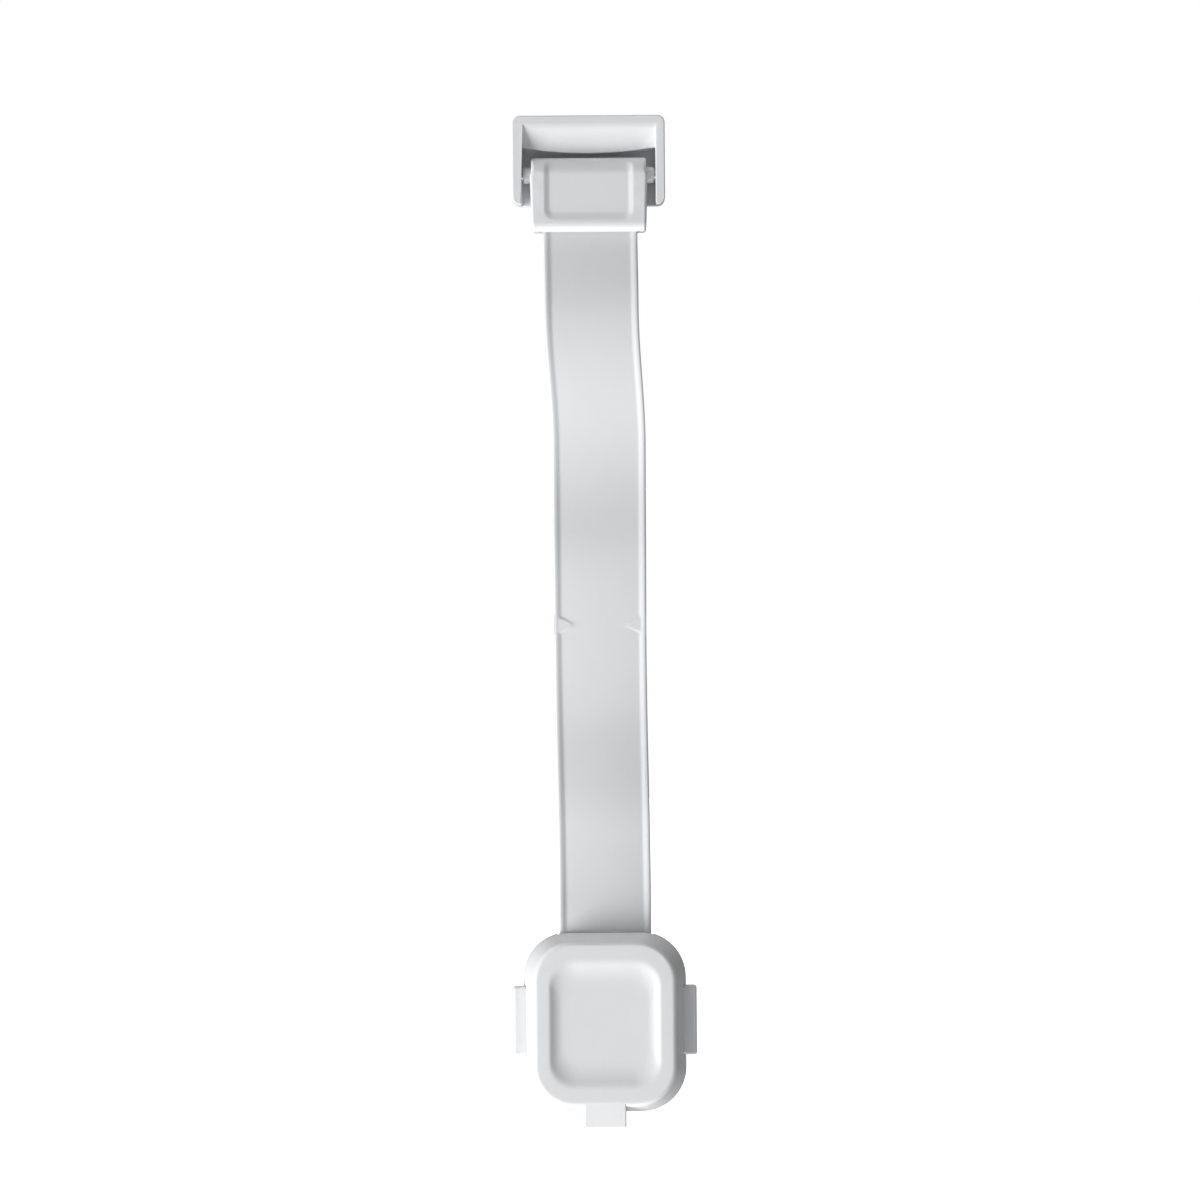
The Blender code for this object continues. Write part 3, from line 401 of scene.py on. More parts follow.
def arc(centre, radius, start, end, steps):
    """Points on an arc between two angles in degrees."""
    angles = [math.radians(start + (end - start) * i / steps) for i in range(steps + 1)]
    return [(centre[0] + radius * math.cos(a), centre[1] + radius * math.sin(a)) for a in angles]


def rounded_rectangle(half_x, half_z, radius, centre, steps):
    """Points round a rectangle with steps segments in each rounded corner."""
    points = []
    for start, side_x, side_z in ((0, 1, 1), (90, -1, 1), (180, -1, -1), (270, 1, -1)):
        corner = (centre[0] + side_x * (half_x - radius), centre[1] + side_z * (half_z - radius))
        points += arc(corner, radius, start, start + 90, steps)
    return points


def front_ring(half_x, half_z, radius, depth, centre, steps=12):
    """A rounded rectangle seen from the front, at a depth."""
    return [place(x, depth, z) for x, z in rounded_rectangle(half_x, half_z, radius, centre, steps)]


def fillet_steps(radius, steps=5):
    """(inset, rise) pairs round a quarter circle, from a side wall up to a flat face."""
    turns = [math.pi / 2 * i / steps for i in range(steps + 1)]
    return [(radius * (1 - math.cos(a)), radius * math.sin(a)) for a in turns]


def plate(name, halves, corner, depths, centre, edges):
    """A flat plate with a rounded outline; its depths and edge fillets are (back, front) pairs."""
    (back, front), (back_edge, front_edge) = depths, edges
    sections = [(inset, back + back_edge - rise) for inset, rise in reversed(fillet_steps(back_edge, 4))]
    sections += [(inset, front - front_edge + rise) for inset, rise in fillet_steps(front_edge, 4)]
    rings = []
    for inset, depth in sections:
        radius = max(corner - inset, PLATE_CORNER_LEAST)
        rings.append(front_ring(halves[0] - inset, halves[1] - inset, radius, depth, centre))
    return loft_piece(name, rings)


def prism(name, outline, low, high, to_world):
    """A flat outline made solid between two heights; to_world turns (u, v, height) into a point."""
    bm = bmesh.new()
    base = bm.faces.new([bm.verts.new(to_world(u, v, low)) for u, v in outline])
    grown = bmesh.ops.extrude_face_region(bm, geom=[base])
    moved = [part for part in grown["geom"] if isinstance(part, bmesh.types.BMVert)]
    bmesh.ops.translate(bm, verts=moved, vec=to_world(0, 0, high) - to_world(0, 0, low))
    return make_piece(name, bm)


def front_view(x, z, depth):
    return place(x, depth, z)


def side_view(depth, z, x):
    return place(x, depth, z)


def box(name, low, high):
    """A box between two corners, each given as (x, depth, z)."""
    outline = [(low[0], low[2]), (high[0], low[2]), (high[0], high[2]), (low[0], high[2])]
    return prism(name, outline, low[1], high[1], front_view)


def side_box(name, side, middle, across, depths, heights):
    """A box to one side of a middle (X, Z): across and heights are distances from it."""
    low_x, high_x = sorted(middle[0] + side * distance for distance in across)
    low = (low_x, depths[0], middle[1] + heights[0])
    return box(name, low, (high_x, depths[1], middle[1] + heights[1]))


def rod(name, radius, start, end, sides, chamfer=0.0):
    """A round bar between two points, each given as (x, depth, z), with chamfered ends."""
    a, b = place(*start), place(*end)
    along = (b - a).normalized()
    side = along.orthogonal().normalized()
    across = along.cross(side)
    stations = [(0, radius - chamfer), (chamfer, radius)] if chamfer else [(0, radius)]
    stations += [((b - a).length - distance, size) for distance, size in reversed(stations)]
    rings = []
    for distance, size in stations:
        turns = [math.tau * i / sides for i in range(sides)]
        ring = [a + along * distance + size * (side * math.cos(t) + across * math.sin(t)) for t in turns]
        rings.append(ring)
    return loft_piece(name, rings)


def round_edges(piece, width, segments):
    """Rounds a piece's sharp edges."""
    bm = bmesh.new()
    bm.from_mesh(piece.data)
    bmesh.ops.dissolve_limit(bm, angle_limit=math.radians(0.5), verts=bm.verts, edges=bm.edges)
    limit = math.radians(SHARP_ANGLE)
    sharp = [edge for edge in bm.edges if edge.is_manifold and edge.calc_face_angle() > limit]
    bmesh.ops.bevel(
        bm, geom=sharp, offset=width, offset_type="OFFSET", segments=segments, profile=0.5, affect="EDGES"
    )
    bm.to_mesh(piece.data)
    bm.free()
    shade(piece)
    return piece


def combine(piece, tool, operation):
    """Applies a Boolean with a tool, which is then removed."""
    modifier = piece.modifiers.new("boolean", "BOOLEAN")
    modifier.object = tool
    modifier.operation = operation
    modifier.solver = "EXACT"
    depsgraph = bpy.context.evaluated_depsgraph_get()
    mesh = bpy.data.meshes.new_from_object(piece.evaluated_get(depsgraph))
    piece.modifiers.clear()
    old = piece.data
    piece.data = mesh
    bpy.data.meshes.remove(old)
    mesh.name = piece.name
    bpy.data.objects.remove(tool)
    shade(piece)


def cut(piece, tool):
    combine(piece, tool, "DIFFERENCE")


def join(piece, tool):
    combine(piece, tool, "UNION")


def settle_normals(piece):
    """Keeps large flat faces flat beside their rounded edges."""
    modifier = piece.modifiers.new("weighted normals", "WEIGHTED_NORMAL")
    modifier.keep_sharp = True
    modifier.weight = 60


def ease(z, stops):
    """A smooth value at height z, level at each of the stops (z, value), which run downwards."""
    if z >= stops[0][0]:
        return stops[0][1]
    for (z0, value0), (z1, value1) in zip(stops, stops[1:]):
        if z >= z1:
            share = (z0 - z) / (z0 - z1)
            return value0 + (value1 - value0) * (1 - math.cos(math.pi * share)) / 2
    return stops[-1][1]


def smooth_step(value, low, high):
    """0 below low, 1 above high and a smooth rise between them."""
    share = min(1.0, max(0.0, (value - low) / (high - low)))
    return share * share * (3 - 2 * share)


# Materials


def new_material(name):
    """A material, its node tree and its shader."""
    material = bpy.data.materials.new(name)
    material.use_nodes = True
    tree = material.node_tree
    return material, tree, tree.nodes["Principled BSDF"]


def set_inputs(node, **values):
    """Sets a node's inputs; an underscore in a name stands for a space."""
    for name, value in values.items():
        node.inputs[name.replace("_", " ")].default_value = value


def add_node(tree, kind, **values):
    """Adds a shader node to a tree and sets its inputs."""
    node = tree.nodes.new(f"ShaderNode{kind}")
    set_inputs(node, **values)
    return node


def noise(tree, scale, detail, roughness=0.5, stretch=(1, 1, 1)):
    """A noise texture in the frame's own coordinates, stretched along the axes."""
    coordinates = add_node(tree, "TexCoord")
    mapping = add_node(tree, "Mapping", Scale=stretch)
    texture = add_node(tree, "TexNoise", Scale=scale, Detail=detail, Roughness=roughness)
    tree.links.new(coordinates.outputs["Object"], mapping.inputs["Vector"])
    tree.links.new(mapping.outputs["Vector"], texture.inputs["Vector"])
    return texture.outputs["Fac"]


def remap(tree, value, source, target=(0.0, 1.0)):
    """Turns the range source into the range target, and stops at its ends."""
    node = add_node(tree, "MapRange", From_Min=source[0], From_Max=source[1])
    set_inputs(node, To_Min=target[0], To_Max=target[1])
    tree.links.new(value, node.inputs["Value"])
    return node.outputs["Result"]


def math_node(tree, operation, a, b):
    """A Math node on two values, each a number or another node's output."""
    node = add_node(tree, "Math")
    node.operation = operation
    for socket, value in zip(node.inputs, (a, b)):
        if isinstance(value, (int, float)):
            socket.default_value = value
        else:
            tree.links.new(value, socket)
    return node.outputs["Value"]


def mix_colours(tree, share, first, second):
    """From the first colour to the second as share goes from 0 to 1; each is a tuple or an output."""
    node = add_node(tree, "Mix")
    node.data_type = "RGBA"
    tree.links.new(share, node.inputs["Factor"])
    for socket, colour in (("A", first), ("B", second)):
        target = next(i for i in node.inputs if i.name == socket and i.type == "RGBA")
        if isinstance(colour, tuple):
            target.default_value = (*colour, 1.0)
        else:
            tree.links.new(colour, target)
    return next(o for o in node.outputs if o.type == "RGBA")


def connect(tree, shader, colour, rough, layers):
    """Links colour, roughness and a stack of bump layers, each (height, distance in metres, strength)."""
    tree.links.new(colour, shader.inputs["Base Color"])
    tree.links.new(rough, shader.inputs["Roughness"])
    normal = None
    for height, distance, strength in layers:
        node = add_node(tree, "Bump", Distance=distance, Strength=strength)
        tree.links.new(height, node.inputs["Height"])
        if normal is not None:
            tree.links.new(normal, node.inputs["Normal"])
        normal = node.outputs["Normal"]
    tree.links.new(normal, shader.inputs["Normal"])


def edge_polish_and_highlight(tree):
    """A share that is 1 on convex edges, broken up by noise: it marks worn, polished edges and a painted
    highlight on them.
    """
    geometry = add_node(tree, "NewGeometry")
    edges = remap(tree, geometry.outputs["Pointiness"], (0.52, 0.60))
    patches = remap(tree, noise(tree, scale=420, detail=4), (0.42, 0.62))
    return math_node(tree, "MULTIPLY", edges, patches)


def moulded_plastic(name, colour, shade_colour, rough, grain=0.35, flow=0.048, streaks=0.0):
    """Injection-moulded plastic: faint flow clouds, fine tool texture and slightly polished edges, which are
    painted lighter as a highlight.
    """
    material, tree, shader = new_material(name)
    clouds = remap(tree, noise(tree, scale=55, detail=4, roughness=0.55), (0.35, 0.68))
    specks = remap(tree, noise(tree, scale=2600, detail=2), (0.60, 0.78), (0.0, 0.5))
    base = mix_colours(tree, clouds, shade_colour, colour)
    speck_colour = tuple(c * SPECK_SHADE for c in shade_colour)
    base = mix_colours(tree, specks, base, speck_colour)
    polish_and_highlight = edge_polish_and_highlight(tree)
    # Convex edges are painted lighter, a painted highlight; their lower roughness further down is wear
    # polish.
    painted_edge_highlight = tuple(min(1.0, c * EDGE_HIGHLIGHT_LIFT) for c in colour)
    base = mix_colours(tree, polish_and_highlight, base, painted_edge_highlight)
    handled = noise(tree, scale=240, detail=5, roughness=0.6)
    gloss = remap(tree, handled, (0.3, 0.7), (rough - 0.05, rough + 0.07))
    gloss = math_node(tree, "SUBTRACT", gloss, math_node(tree, "MULTIPLY", polish_and_highlight, WORN_POLISH))
    layers = [
        (noise(tree, scale=70, detail=2), 0.25 * MM, flow),
        (noise(tree, scale=5200, detail=3, roughness=0.6), 0.012 * MM, grain),
    ]
    if streaks:
        drawn = noise(tree, scale=900, detail=3, roughness=0.6, stretch=(1, 1, 0.04))
        layers.append((drawn, 0.02 * MM, streaks))
    connect(tree, shader, base, gloss, layers)
    set_inputs(shader, IOR=1.5)
    return material


def foam_material():
    """Closed-cell foam tape with open pores on its cut edges."""
    material, tree, shader = new_material("foam_tape")
    coordinates = add_node(tree, "TexCoord")
    cells = add_node(tree, "TexVoronoi", Scale=2600)
    tree.links.new(coordinates.outputs["Object"], cells.inputs["Vector"])
    pores = remap(tree, cells.outputs["Distance"], (0.1, 0.55))
    base = mix_colours(tree, pores, (0.70, 0.70, 0.68), (0.86, 0.86, 0.84))
    dirt = remap(tree, noise(tree, scale=130, detail=5), (0.45, 0.75), (0.0, 0.35))
    base = mix_colours(tree, dirt, base, (0.72, 0.71, 0.66))
    rough = remap(tree, noise(tree, scale=700, detail=3), (0.3, 0.7), (0.82, 0.95))
    layers = [(cells.outputs["Distance"], 0.06 * MM, 0.5), (noise(tree, scale=400, detail=3), 0.05 * MM, 0.3)]
    connect(tree, shader, base, rough, layers)
    return material


def steel_material():
    """Zinc-plated steel with fine drawn lines."""
    material, tree, shader = new_material("steel")
    set_inputs(shader, Metallic=1.0)
    clouds = remap(tree, noise(tree, scale=500, detail=4), (0.3, 0.7))
    base = mix_colours(tree, clouds, (0.55, 0.56, 0.58), (0.70, 0.70, 0.71))
    rough = remap(tree, noise(tree, scale=1500, detail=4), (0.3, 0.7), (0.22, 0.42))
    drawn = noise(tree, scale=3000, detail=3, roughness=0.6, stretch=(1, 1, 0.1))
    connect(tree, shader, base, rough, [(drawn, 0.006 * MM, 0.4)])
    return material


def dress(piece, slot):
    """Gives a piece its slot's material."""
    piece.data.materials.clear()
    piece.data.materials.append(MATERIALS[slot])


def install(piece, body, node, slot):
    """Puts a piece in the place of its CAD node."""
    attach(piece, body)
    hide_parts(node)
    dress(piece, slot)


# Pieces


def hood_profile(front, ceiling, low_z):
    """Side view, as (depth, Z) points, of what is cut away in front of the hood's slope."""
    profile = [(front + BEYOND, low_z - BEYOND), (front + BEYOND, ceiling)]
    for share in shares(HOOD_STEPS):
        belly = HOOD_BELLY * math.sin(math.pi * share)
        depth = front - (front - HOOD_LOWER_DEPTH) * share - belly
        profile.append((depth, ceiling + (HOOD_LOWER_Z - ceiling) * share))
    profile.append((HOOD_LOWER_DEPTH, low_z - BEYOND))
    return profile


def recess_outline(half_x, low_z):
    """Front view of the space for the strap end, whose top edge is bowed downwards."""
    outline = [(-half_x, low_z - BEYOND), (half_x, low_z - BEYOND)]
    for share in shares(HOOD_STEPS):
        x = half_x * (1 - 2 * share)
        outline.append((x, HOOD_EDGE_MIDDLE + (HOOD_EDGE_SIDE - HOOD_EDGE_MIDDLE) * (x / half_x) ** 2))
    return outline


def make_anchor():
    """The tray with a hood over its top, open at its front and bottom."""
    node = NodeRange("anchor_base")
    outline = rounded_rectangle(node.half_x, node.half_z, TRAY_CORNER, node.middle, 8)
    tray = prism("anchor_tray", outline, node.back, node.front, front_view)
    ceiling = node.high_z - TRAY_TOP_WALL
    inner = node.half_x - TRAY_SIDE_WALL
    cut(tray, prism("hood", hood_profile(node.front, ceiling, node.low_z), -inner, inner, side_view))
    recess = recess_outline(inner, node.low_z)
    cut(tray, prism("recess", recess, node.back + TRAY_FLOOR, node.front, front_view))
    cut(tray, rod("bore", BORE_RADIUS, (node.low_x - BEYOND, *HINGE), (node.high_x + BEYOND, *HINGE), 40))
    round_edges(tray, TRAY_EDGE, 4)
    settle_normals(tray)
    install(tray, "anchor", "anchor_base", "white_plastic")


def make_pad(body, corner):
    """Foam tape fills the space between the wall and the moulding in front of it."""
    node = NodeRange(f"{body}_adhesive_pad")
    thickness = NodeRange(f"{body}_base").back - node.back
    rings = []
    for share, bulge in PAD_SECTIONS:
        inset = bulge * MM + PAD_INSET
        depth = node.back + thickness * share
        rings.append(front_ring(node.half_x - inset, node.half_z - inset, corner, depth, node.middle, 16))
    pad = loft_piece(f"{body}_foam_pad", rings, 50)
    install(pad, body, f"{body}_adhesive_pad", "foam_tape")


def block_profile(bottom):
    """Side view of the strap end as (depth, Z) points: the barrel's front, then the block below it."""
    profile = arc(HINGE, BARREL_RADIUS, *BARREL_ARC, 20)
    front_corner = (BLOCK_FRONT - BLOCK_FRONT_FILLET, bottom + BLOCK_FRONT_FILLET)
    profile += arc(front_corner, BLOCK_FRONT_FILLET, 0, -90, 8)
    back_corner = (BLOCK_BACK + BLOCK_BACK_FILLET, bottom + BLOCK_BACK_FILLET)
    profile += arc(back_corner, BLOCK_BACK_FILLET, -90, -180, 4)
    return profile + [(BLOCK_BACK, BLOCK_BACK_TOP)]


def block_half_width(z, bottom):
    """The block is narrower round the barrel, and below its shoulders it tapers down to its bottom."""
    shoulder = BLOCK_HALF_WIDTH_TOP + (BLOCK_HALF_WIDTH_BOTTOM - BLOCK_HALF_WIDTH_TOP) * z / bottom
    return shoulder - BLOCK_WAIST * smooth_step(z, *BLOCK_WAIST_Z)


def block_rings(bottom):
    """The block's profile carried from side to side, drawn in towards its middle at both rounded sides."""
    centre = ((BLOCK_BACK + BLOCK_FRONT) / 2, (bottom + HINGE_Z + BARREL_RADIUS) / 2)
    insets = fillet_steps(BLOCK_SIDE_FILLET)
    stations = [(-1, inset, rise) for inset, rise in reversed(insets)]
    stations += [(1, inset, rise) for inset, rise in insets]
    rings = []
    for side, inset, rise in stations:
        shrink_depth, shrink_z = (1 - inset / reach for reach in BLOCK_SIDE_REACH)
        ring = []
        for depth, z in block_profile(bottom):
            x = side * (block_half_width(z, bottom) - BLOCK_SIDE_FILLET + rise)
            new_depth = centre[0] + (depth - centre[0]) * shrink_depth
            ring.append(place(x, new_depth, centre[1] + (z - centre[1]) * shrink_z))
        rings.append(ring)
    return rings


def block_dish_ring(share, depth):
    """A ring of the block's dish, from its rim to its floor as share goes from 0 to 1."""
    half_x, half_z, corner, z = (a + (b - a) * share for a, b in zip(BLOCK_DISH_RIM, BLOCK_DISH_FLOOR))
    return front_ring(half_x, half_z, corner, depth, (0, z), 10)


def block_dish_cutter():
    """The cutter of the block's shallow dish, wrapped round the barrel above the hinge."""
    rings = [block_dish_ring(0, BLOCK_FRONT + BLOCK_DISH_ABOVE)]
    for share in shares(BLOCK_DISH_STEPS):
        fall = BLOCK_DISH_DEPTH * smooth_step(share, 0, 1) - BLOCK_DISH_OVERLAP
        rings.append(block_dish_ring(share, BLOCK_FRONT - fall))
    dish = loft_piece("dish", rings)
    wrap_round_barrel(dish)
    return dish


def wrap_round_barrel(tool):
    """Bends the part of a cutter above the hinge round the barrel."""
    bm = bmesh.new()
    bm.from_mesh(tool.data)
    for i in range(WRAP_LEVELS):
        level = (0, 0, HINGE_Z + i * WRAP_LEVEL_STEP)
        bmesh.ops.bisect_plane(bm, geom=[*bm.verts, *bm.edges, *bm.faces], plane_co=level, plane_no=(0, 0, 1))
    for vert in bm.verts:
        rise = vert.co.z - HINGE_Z
        if rise > 0:
            radius, angle = -vert.co.y - HINGE_DEPTH, rise / BARREL_RADIUS
            vert.co.y = -HINGE_DEPTH - radius * math.cos(angle)
            vert.co.z = HINGE_Z + radius * math.sin(angle)
    bm.to_mesh(tool.data)
    bm.free()


def make_strap_end():
    """The hinged block: a barrel across the tray, merging into a block with a dished front."""
    node = NodeRange("strap_end_housing")
    block = loft_piece("strap_end_block", block_rings(node.low_z))
    ends = (node.low_x, *HINGE), (node.high_x, *HINGE)
    join(block, rod("bosses", HINGE_BOSS_RADIUS, *ends, 48, HINGE_BOSS_CHAMFER))
    cut(block, block_dish_cutter())
    cut(block, box("pocket", POCKET_LOW, POCKET_HIGH))
    cut(block, box("slot", STRAP_SLOT_LOW, STRAP_SLOT_HIGH))
    cut(block, rod("bore", BORE_RADIUS, (-BORE_REACH, *HINGE), (BORE_REACH, *HINGE), 40))
    settle_normals(block)
    install(block, "strap_end", "strap_end_housing", "white_plastic")


def in_metres(stops):
    """Stops given in mm, in metres."""
    return [(height * MM, value * MM) for height, value in stops]


def strap_depth(z):
    """Depth of the strap's middle plane: it waves gently between the strap end and the head."""
    return ease(z, in_metres(STRAP_WAVES))


def strap_x(z):
    """Sideways place of the strap's middle line: it bows to +X on its way to the head."""
    return ease(z, in_metres(STRAP_BOWS))


def strap_widening(z):
    """The strap is a trace wider at its top than at its bottom."""
    return ease(z / MM, STRAP_WIDENINGS)


def strap_section():
    """The strap's front surface from edge to edge, as (X, share of the rib's height) points."""
    inner = STRAP_HALF_WIDTH - RIB_TOP_WIDTH
    half = [(x * MM, 0.0) for x in WEB_STATIONS]
    for share in shares(RIB_SLOPE_STEPS):
        half.append((inner - RIB_SLOPE_WIDTH * (1 - share), smooth_step(share, 0, 1)))
    for inset, rise in reversed(fillet_steps(STRAP_EDGE)):
        half.append((STRAP_HALF_WIDTH - inset, 1.0 - (STRAP_EDGE - rise) / (STRAP_RIB_HALF - STRAP_WEB_HALF)))
    return [(-x, lift) for x, lift in reversed(half[1:])] + half


def web_crown(x, z):
    """How far the web's front bulges between the ribs: more towards the head."""
    return ease(z, in_metres(WEB_CROWNS)) * max(0.0, 1 - (x / WEB_HALF_WIDTH) ** 2)


def gusset_share(x, z, fold_z):
    """1 on the raised triangles that point inwards from each edge at the fold mark, 0 off them."""
    run = abs(x) - STRAP_HALF_WIDTH + GUSSET_REACH
    half = GUSSET_BLUNT + (GUSSET_HALF_HEIGHT - GUSSET_BLUNT) * run / GUSSET_REACH
    inside = min(half - abs(z - fold_z), run)
    return smooth_step(inside, -GUSSET_SLOPE / 2, GUSSET_SLOPE / 2)


def strap_stations(top, bottom, fold_z):
    """Heights of the strap's sections, closer together at the raised triangles."""
    stations = []
    z = top
    while z > bottom:
        stations.append(z)
        near = abs(z - fold_z) < GUSSET_HALF_HEIGHT + GUSSET_MARGIN
        z -= STRAP_FINE_STEP if near else STRAP_STEP
    return stations + [bottom]


def strap_ring(section, z, fold_z):
    """One section of the strap: its front from left to right, then its back."""
    middle_x, middle_depth, widening = strap_x(z), strap_depth(z), strap_widening(z)
    ring = []
    for side, row in ((1, section), (-1, reversed(section))):
        for x, lift in row:
            rise = GUSSET_RISES[0] if x < 0 else GUSSET_RISES[1]
            raised = max(lift, rise * gusset_share(x, z, fold_z)) if lift >= 0 else lift
            web = STRAP_WEB_HALF + (web_crown(x, z) if side == 1 else 0)
            height = web + (STRAP_RIB_HALF - web) * raised
            ring.append(place(middle_x + x * widening, middle_depth + side * height, z))
    return ring


def make_strap():
    """One flexible moulding: a thin web, a rib along each edge and a pair of raised triangles."""
    top, bottom = NodeRange("strap_upper").high_z, NodeRange("strap_lower").low_z
    joint = next(j for j in FRAME["joints"] if j["name"] == "strap_fold")
    fold_z = joint["pos_m"][2]
    section = strap_section()
    rings = [strap_ring(section, z, fold_z) for z in strap_stations(top, bottom, fold_z)]
    strap = loft_piece("strap", rings, 50)
    drill_strap(strap, bottom)
    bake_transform(strap)
    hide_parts("strap_upper", "strap_lower")
    dress(strap, "strap_plastic")


def drill_strap(strap, bottom):
    """Holes for the strap end's screws and for the clamp bar's pegs."""
    for side in (-1, 1):
        x, z = side * STRAP_SCREW_X, STRAP_SCREW_Z
        cut(strap, rod("hole", STRAP_SCREW_HOLE, (x, 0, z), (x, DRILL_FRONT, z), 32))
        x, z = strap_x(bottom) + side * PEG_X, bottom + PEG_FROM_STRAP_END
        cut(strap, rod("hole", PEG_HOLE, (x, 0, z), (x, DRILL_FRONT, z), 32))


def dish_profile(steps=18):
    """(share of the slope's width, share of its fall) pairs, steepest just inside the rim."""
    falls = [0.0]
    for i in range(steps):
        middle = (i + 0.5) / steps
        falls.append(falls[-1] + smooth_step(middle, 0, 0.3) * (1 - middle) ** 1.5)
    return [(i / steps, fall / falls[-1]) for i, fall in enumerate(falls)]


class HeadShell:
    """The head's skin: full size at the back, tapered from HEAD_TAPER_DEPTH to its front."""

    def __init__(self, node):
        self.front = node.front
        self.half_x, self.half_z = node.half_x, node.high_z - HEAD_Z
        self.taper_x, self.taper_z = self.half_x * (1 - HEAD_TAPER[0]), self.half_z * (1 - HEAD_TAPER[1])

    def share(self, depth):
        """How far along the taper a depth is."""
        return max(0.0, (depth - HEAD_TAPER_DEPTH) / (self.front - HEAD_TAPER_DEPTH))

    def ring(self, share, inset, depth):
        """share runs along the taper, inset is the distance inside the outer skin."""
        in_x, in_z = self.taper_x * share + inset, self.taper_z * share + inset
        corner = HEAD_CORNER * (1 - HEAD_CORNER_SHRINK * share) - inset
        half_x, half_z = self.half_x - in_x, self.half_z - in_z
        return front_ring(half_x, half_z, corner, depth, HEAD, HEAD_CORNER_STEPS)

    def inner_rings(self, back):
        """The hollow's surface, from its front to the back edge."""
        rings = [self.ring(self.share(HEAD_INNER_FRONT), HEAD_WALL + HEAD_INNER_FILLET, HEAD_INNER_FRONT)]
        for inset, rise in reversed(fillet_steps(HEAD_INNER_FILLET, 4)[:-1]):
            depth = HEAD_INNER_FRONT - HEAD_INNER_FILLET + rise
            rings.append(self.ring(self.share(depth), HEAD_WALL + inset, depth))
        rings.append(self.ring(0, HEAD_WALL, HEAD_TAPER_DEPTH))
        rings.append(self.ring(0, HEAD_WALL, back + HEAD_BACK_LEAD))
        rings.append(self.ring(0, HEAD_WALL - HEAD_BACK_LEAD, back))
        return rings

    def outer_rings(self, back):
        """The outside, from the back edge over the knee and the tapered sides to the front's rounded edge."""
        rings = []
        for inset, rise in reversed(fillet_steps(HEAD_BACK_FILLET, 3)):
            rings.append(self.ring(0, inset, back + HEAD_BACK_FILLET - rise))
        for depth in (HEAD_TAPER_DEPTH - HEAD_KNEE, HEAD_TAPER_DEPTH, HEAD_TAPER_DEPTH + HEAD_KNEE):
            soft = (depth - HEAD_TAPER_DEPTH + HEAD_KNEE) ** 2 / (4 * HEAD_KNEE)
            rings.append(self.ring(soft / (self.front - HEAD_TAPER_DEPTH), 0, depth))
        halfway = (HEAD_TAPER_DEPTH + self.front) / 2
        rings.append(self.ring(self.share(halfway), 0, halfway))
        for inset, rise in fillet_steps(HEAD_FILLET, 6):
            depth = self.front - HEAD_FILLET + rise
            rings.append(self.ring(self.share(depth - rise * HEAD_FILLET_LAG), inset, depth))
        return rings

    def dish_rings(self):
        rings = []
        for share, fall in dish_profile():
            half_x, half_z = DISH_HALF_WIDTH - DISH_SLOPE_X * share, DISH_HALF_HEIGHT - DISH_SLOPE_Z * share
            corner = DISH_CORNER - DISH_CORNER_SHRINK * share
            depth = self.front - DISH_DEPTH * fall
            rings.append(front_ring(half_x, half_z, corner, depth, HEAD, HEAD_CORNER_STEPS))
        return rings


def make_cover():
    """The head's drafted shell: a straight band at the back, tapered sides and a dished front."""
    node = NodeRange("latch_cover")
    shell = HeadShell(node)
    rings = shell.inner_rings(node.back) + shell.outer_rings(node.back) + shell.dish_rings()
    cover = loft_piece("latch_cover_shell", rings)
    add_tab(cover, node)
    clear_cavity(cover)
    open_cover(cover)
    settle_normals(cover)
    install(cover, "latch", "latch_cover", "white_plastic")


def add_tab(cover, node):
    """The lift tab below the head: a wedge that slopes back from the front face's lower edge."""
    tab_x, top = HEAD_X + TAB_X, HEAD_Z + TAB_TOP
    outline = [(TAB_BACK, top), (TAB_BACK, node.low_z), (TAB_TIP_DEPTH, node.low_z)]
    outline += [(depth, HEAD_Z + drop) for depth, drop in TAB_FRONT_POINTS]
    outline.append((TAB_FRONT_POINTS[-1][0], top))
    tab = prism("tab", outline, tab_x - TAB_HALF_WIDTH, tab_x + TAB_HALF_WIDTH, side_view)
    round_edges(tab, TAB_EDGE, 4)
    low = (tab_x - TAB_TRIM_HALF_WIDTH, TAB_TRIM_DEPTHS[0], top - TAB_TRIM_DROP)
    high = (tab_x + TAB_TRIM_HALF_WIDTH, TAB_TRIM_DEPTHS[1], node.high_z)
    cut(tab, box("tab_inner", low, high))
    join(cover, tab)


def clear_cavity(cover):
    """Takes out what the tab left inside the head."""
    (half_x, half_z), (corner, front_corner) = CAVITY_HALF, CAVITY_CORNERS
    back, knee, front = CAVITY_DEPTHS
    narrow_x, narrow_z = CAVITY_NARROWING
    rings = [front_ring(half_x, half_z, corner, depth, HEAD) for depth in (back, knee)]
    rings.append(front_ring(half_x - narrow_x, half_z - narrow_z, front_corner, front, HEAD))
    cut(cover, loft_piece("cavity", rings))


def open_cover(cover):
    """Windows for the buttons and the mouth for the strap."""
    half_z = BUTTON_HALF_HEIGHT + WINDOW_GAP
    for side in (-1, 1):
        cut(cover, side_box("window", side, RAISED, WINDOW_X, (0, WINDOW_FRONT), (-half_z, half_z)))
    mouth_half = STRAP_HALF_WIDTH + MOUTH_GAP
    mouth_x = strap_x(HEAD_Z)
    low = (mouth_x - mouth_half, 0, HEAD_Z + MOUTH_Z[0])
    high = (mouth_x + mouth_half, MOUTH_FRONT, HEAD_Z + MOUTH_Z[1])
    cut(cover, box("mouth", low, high))


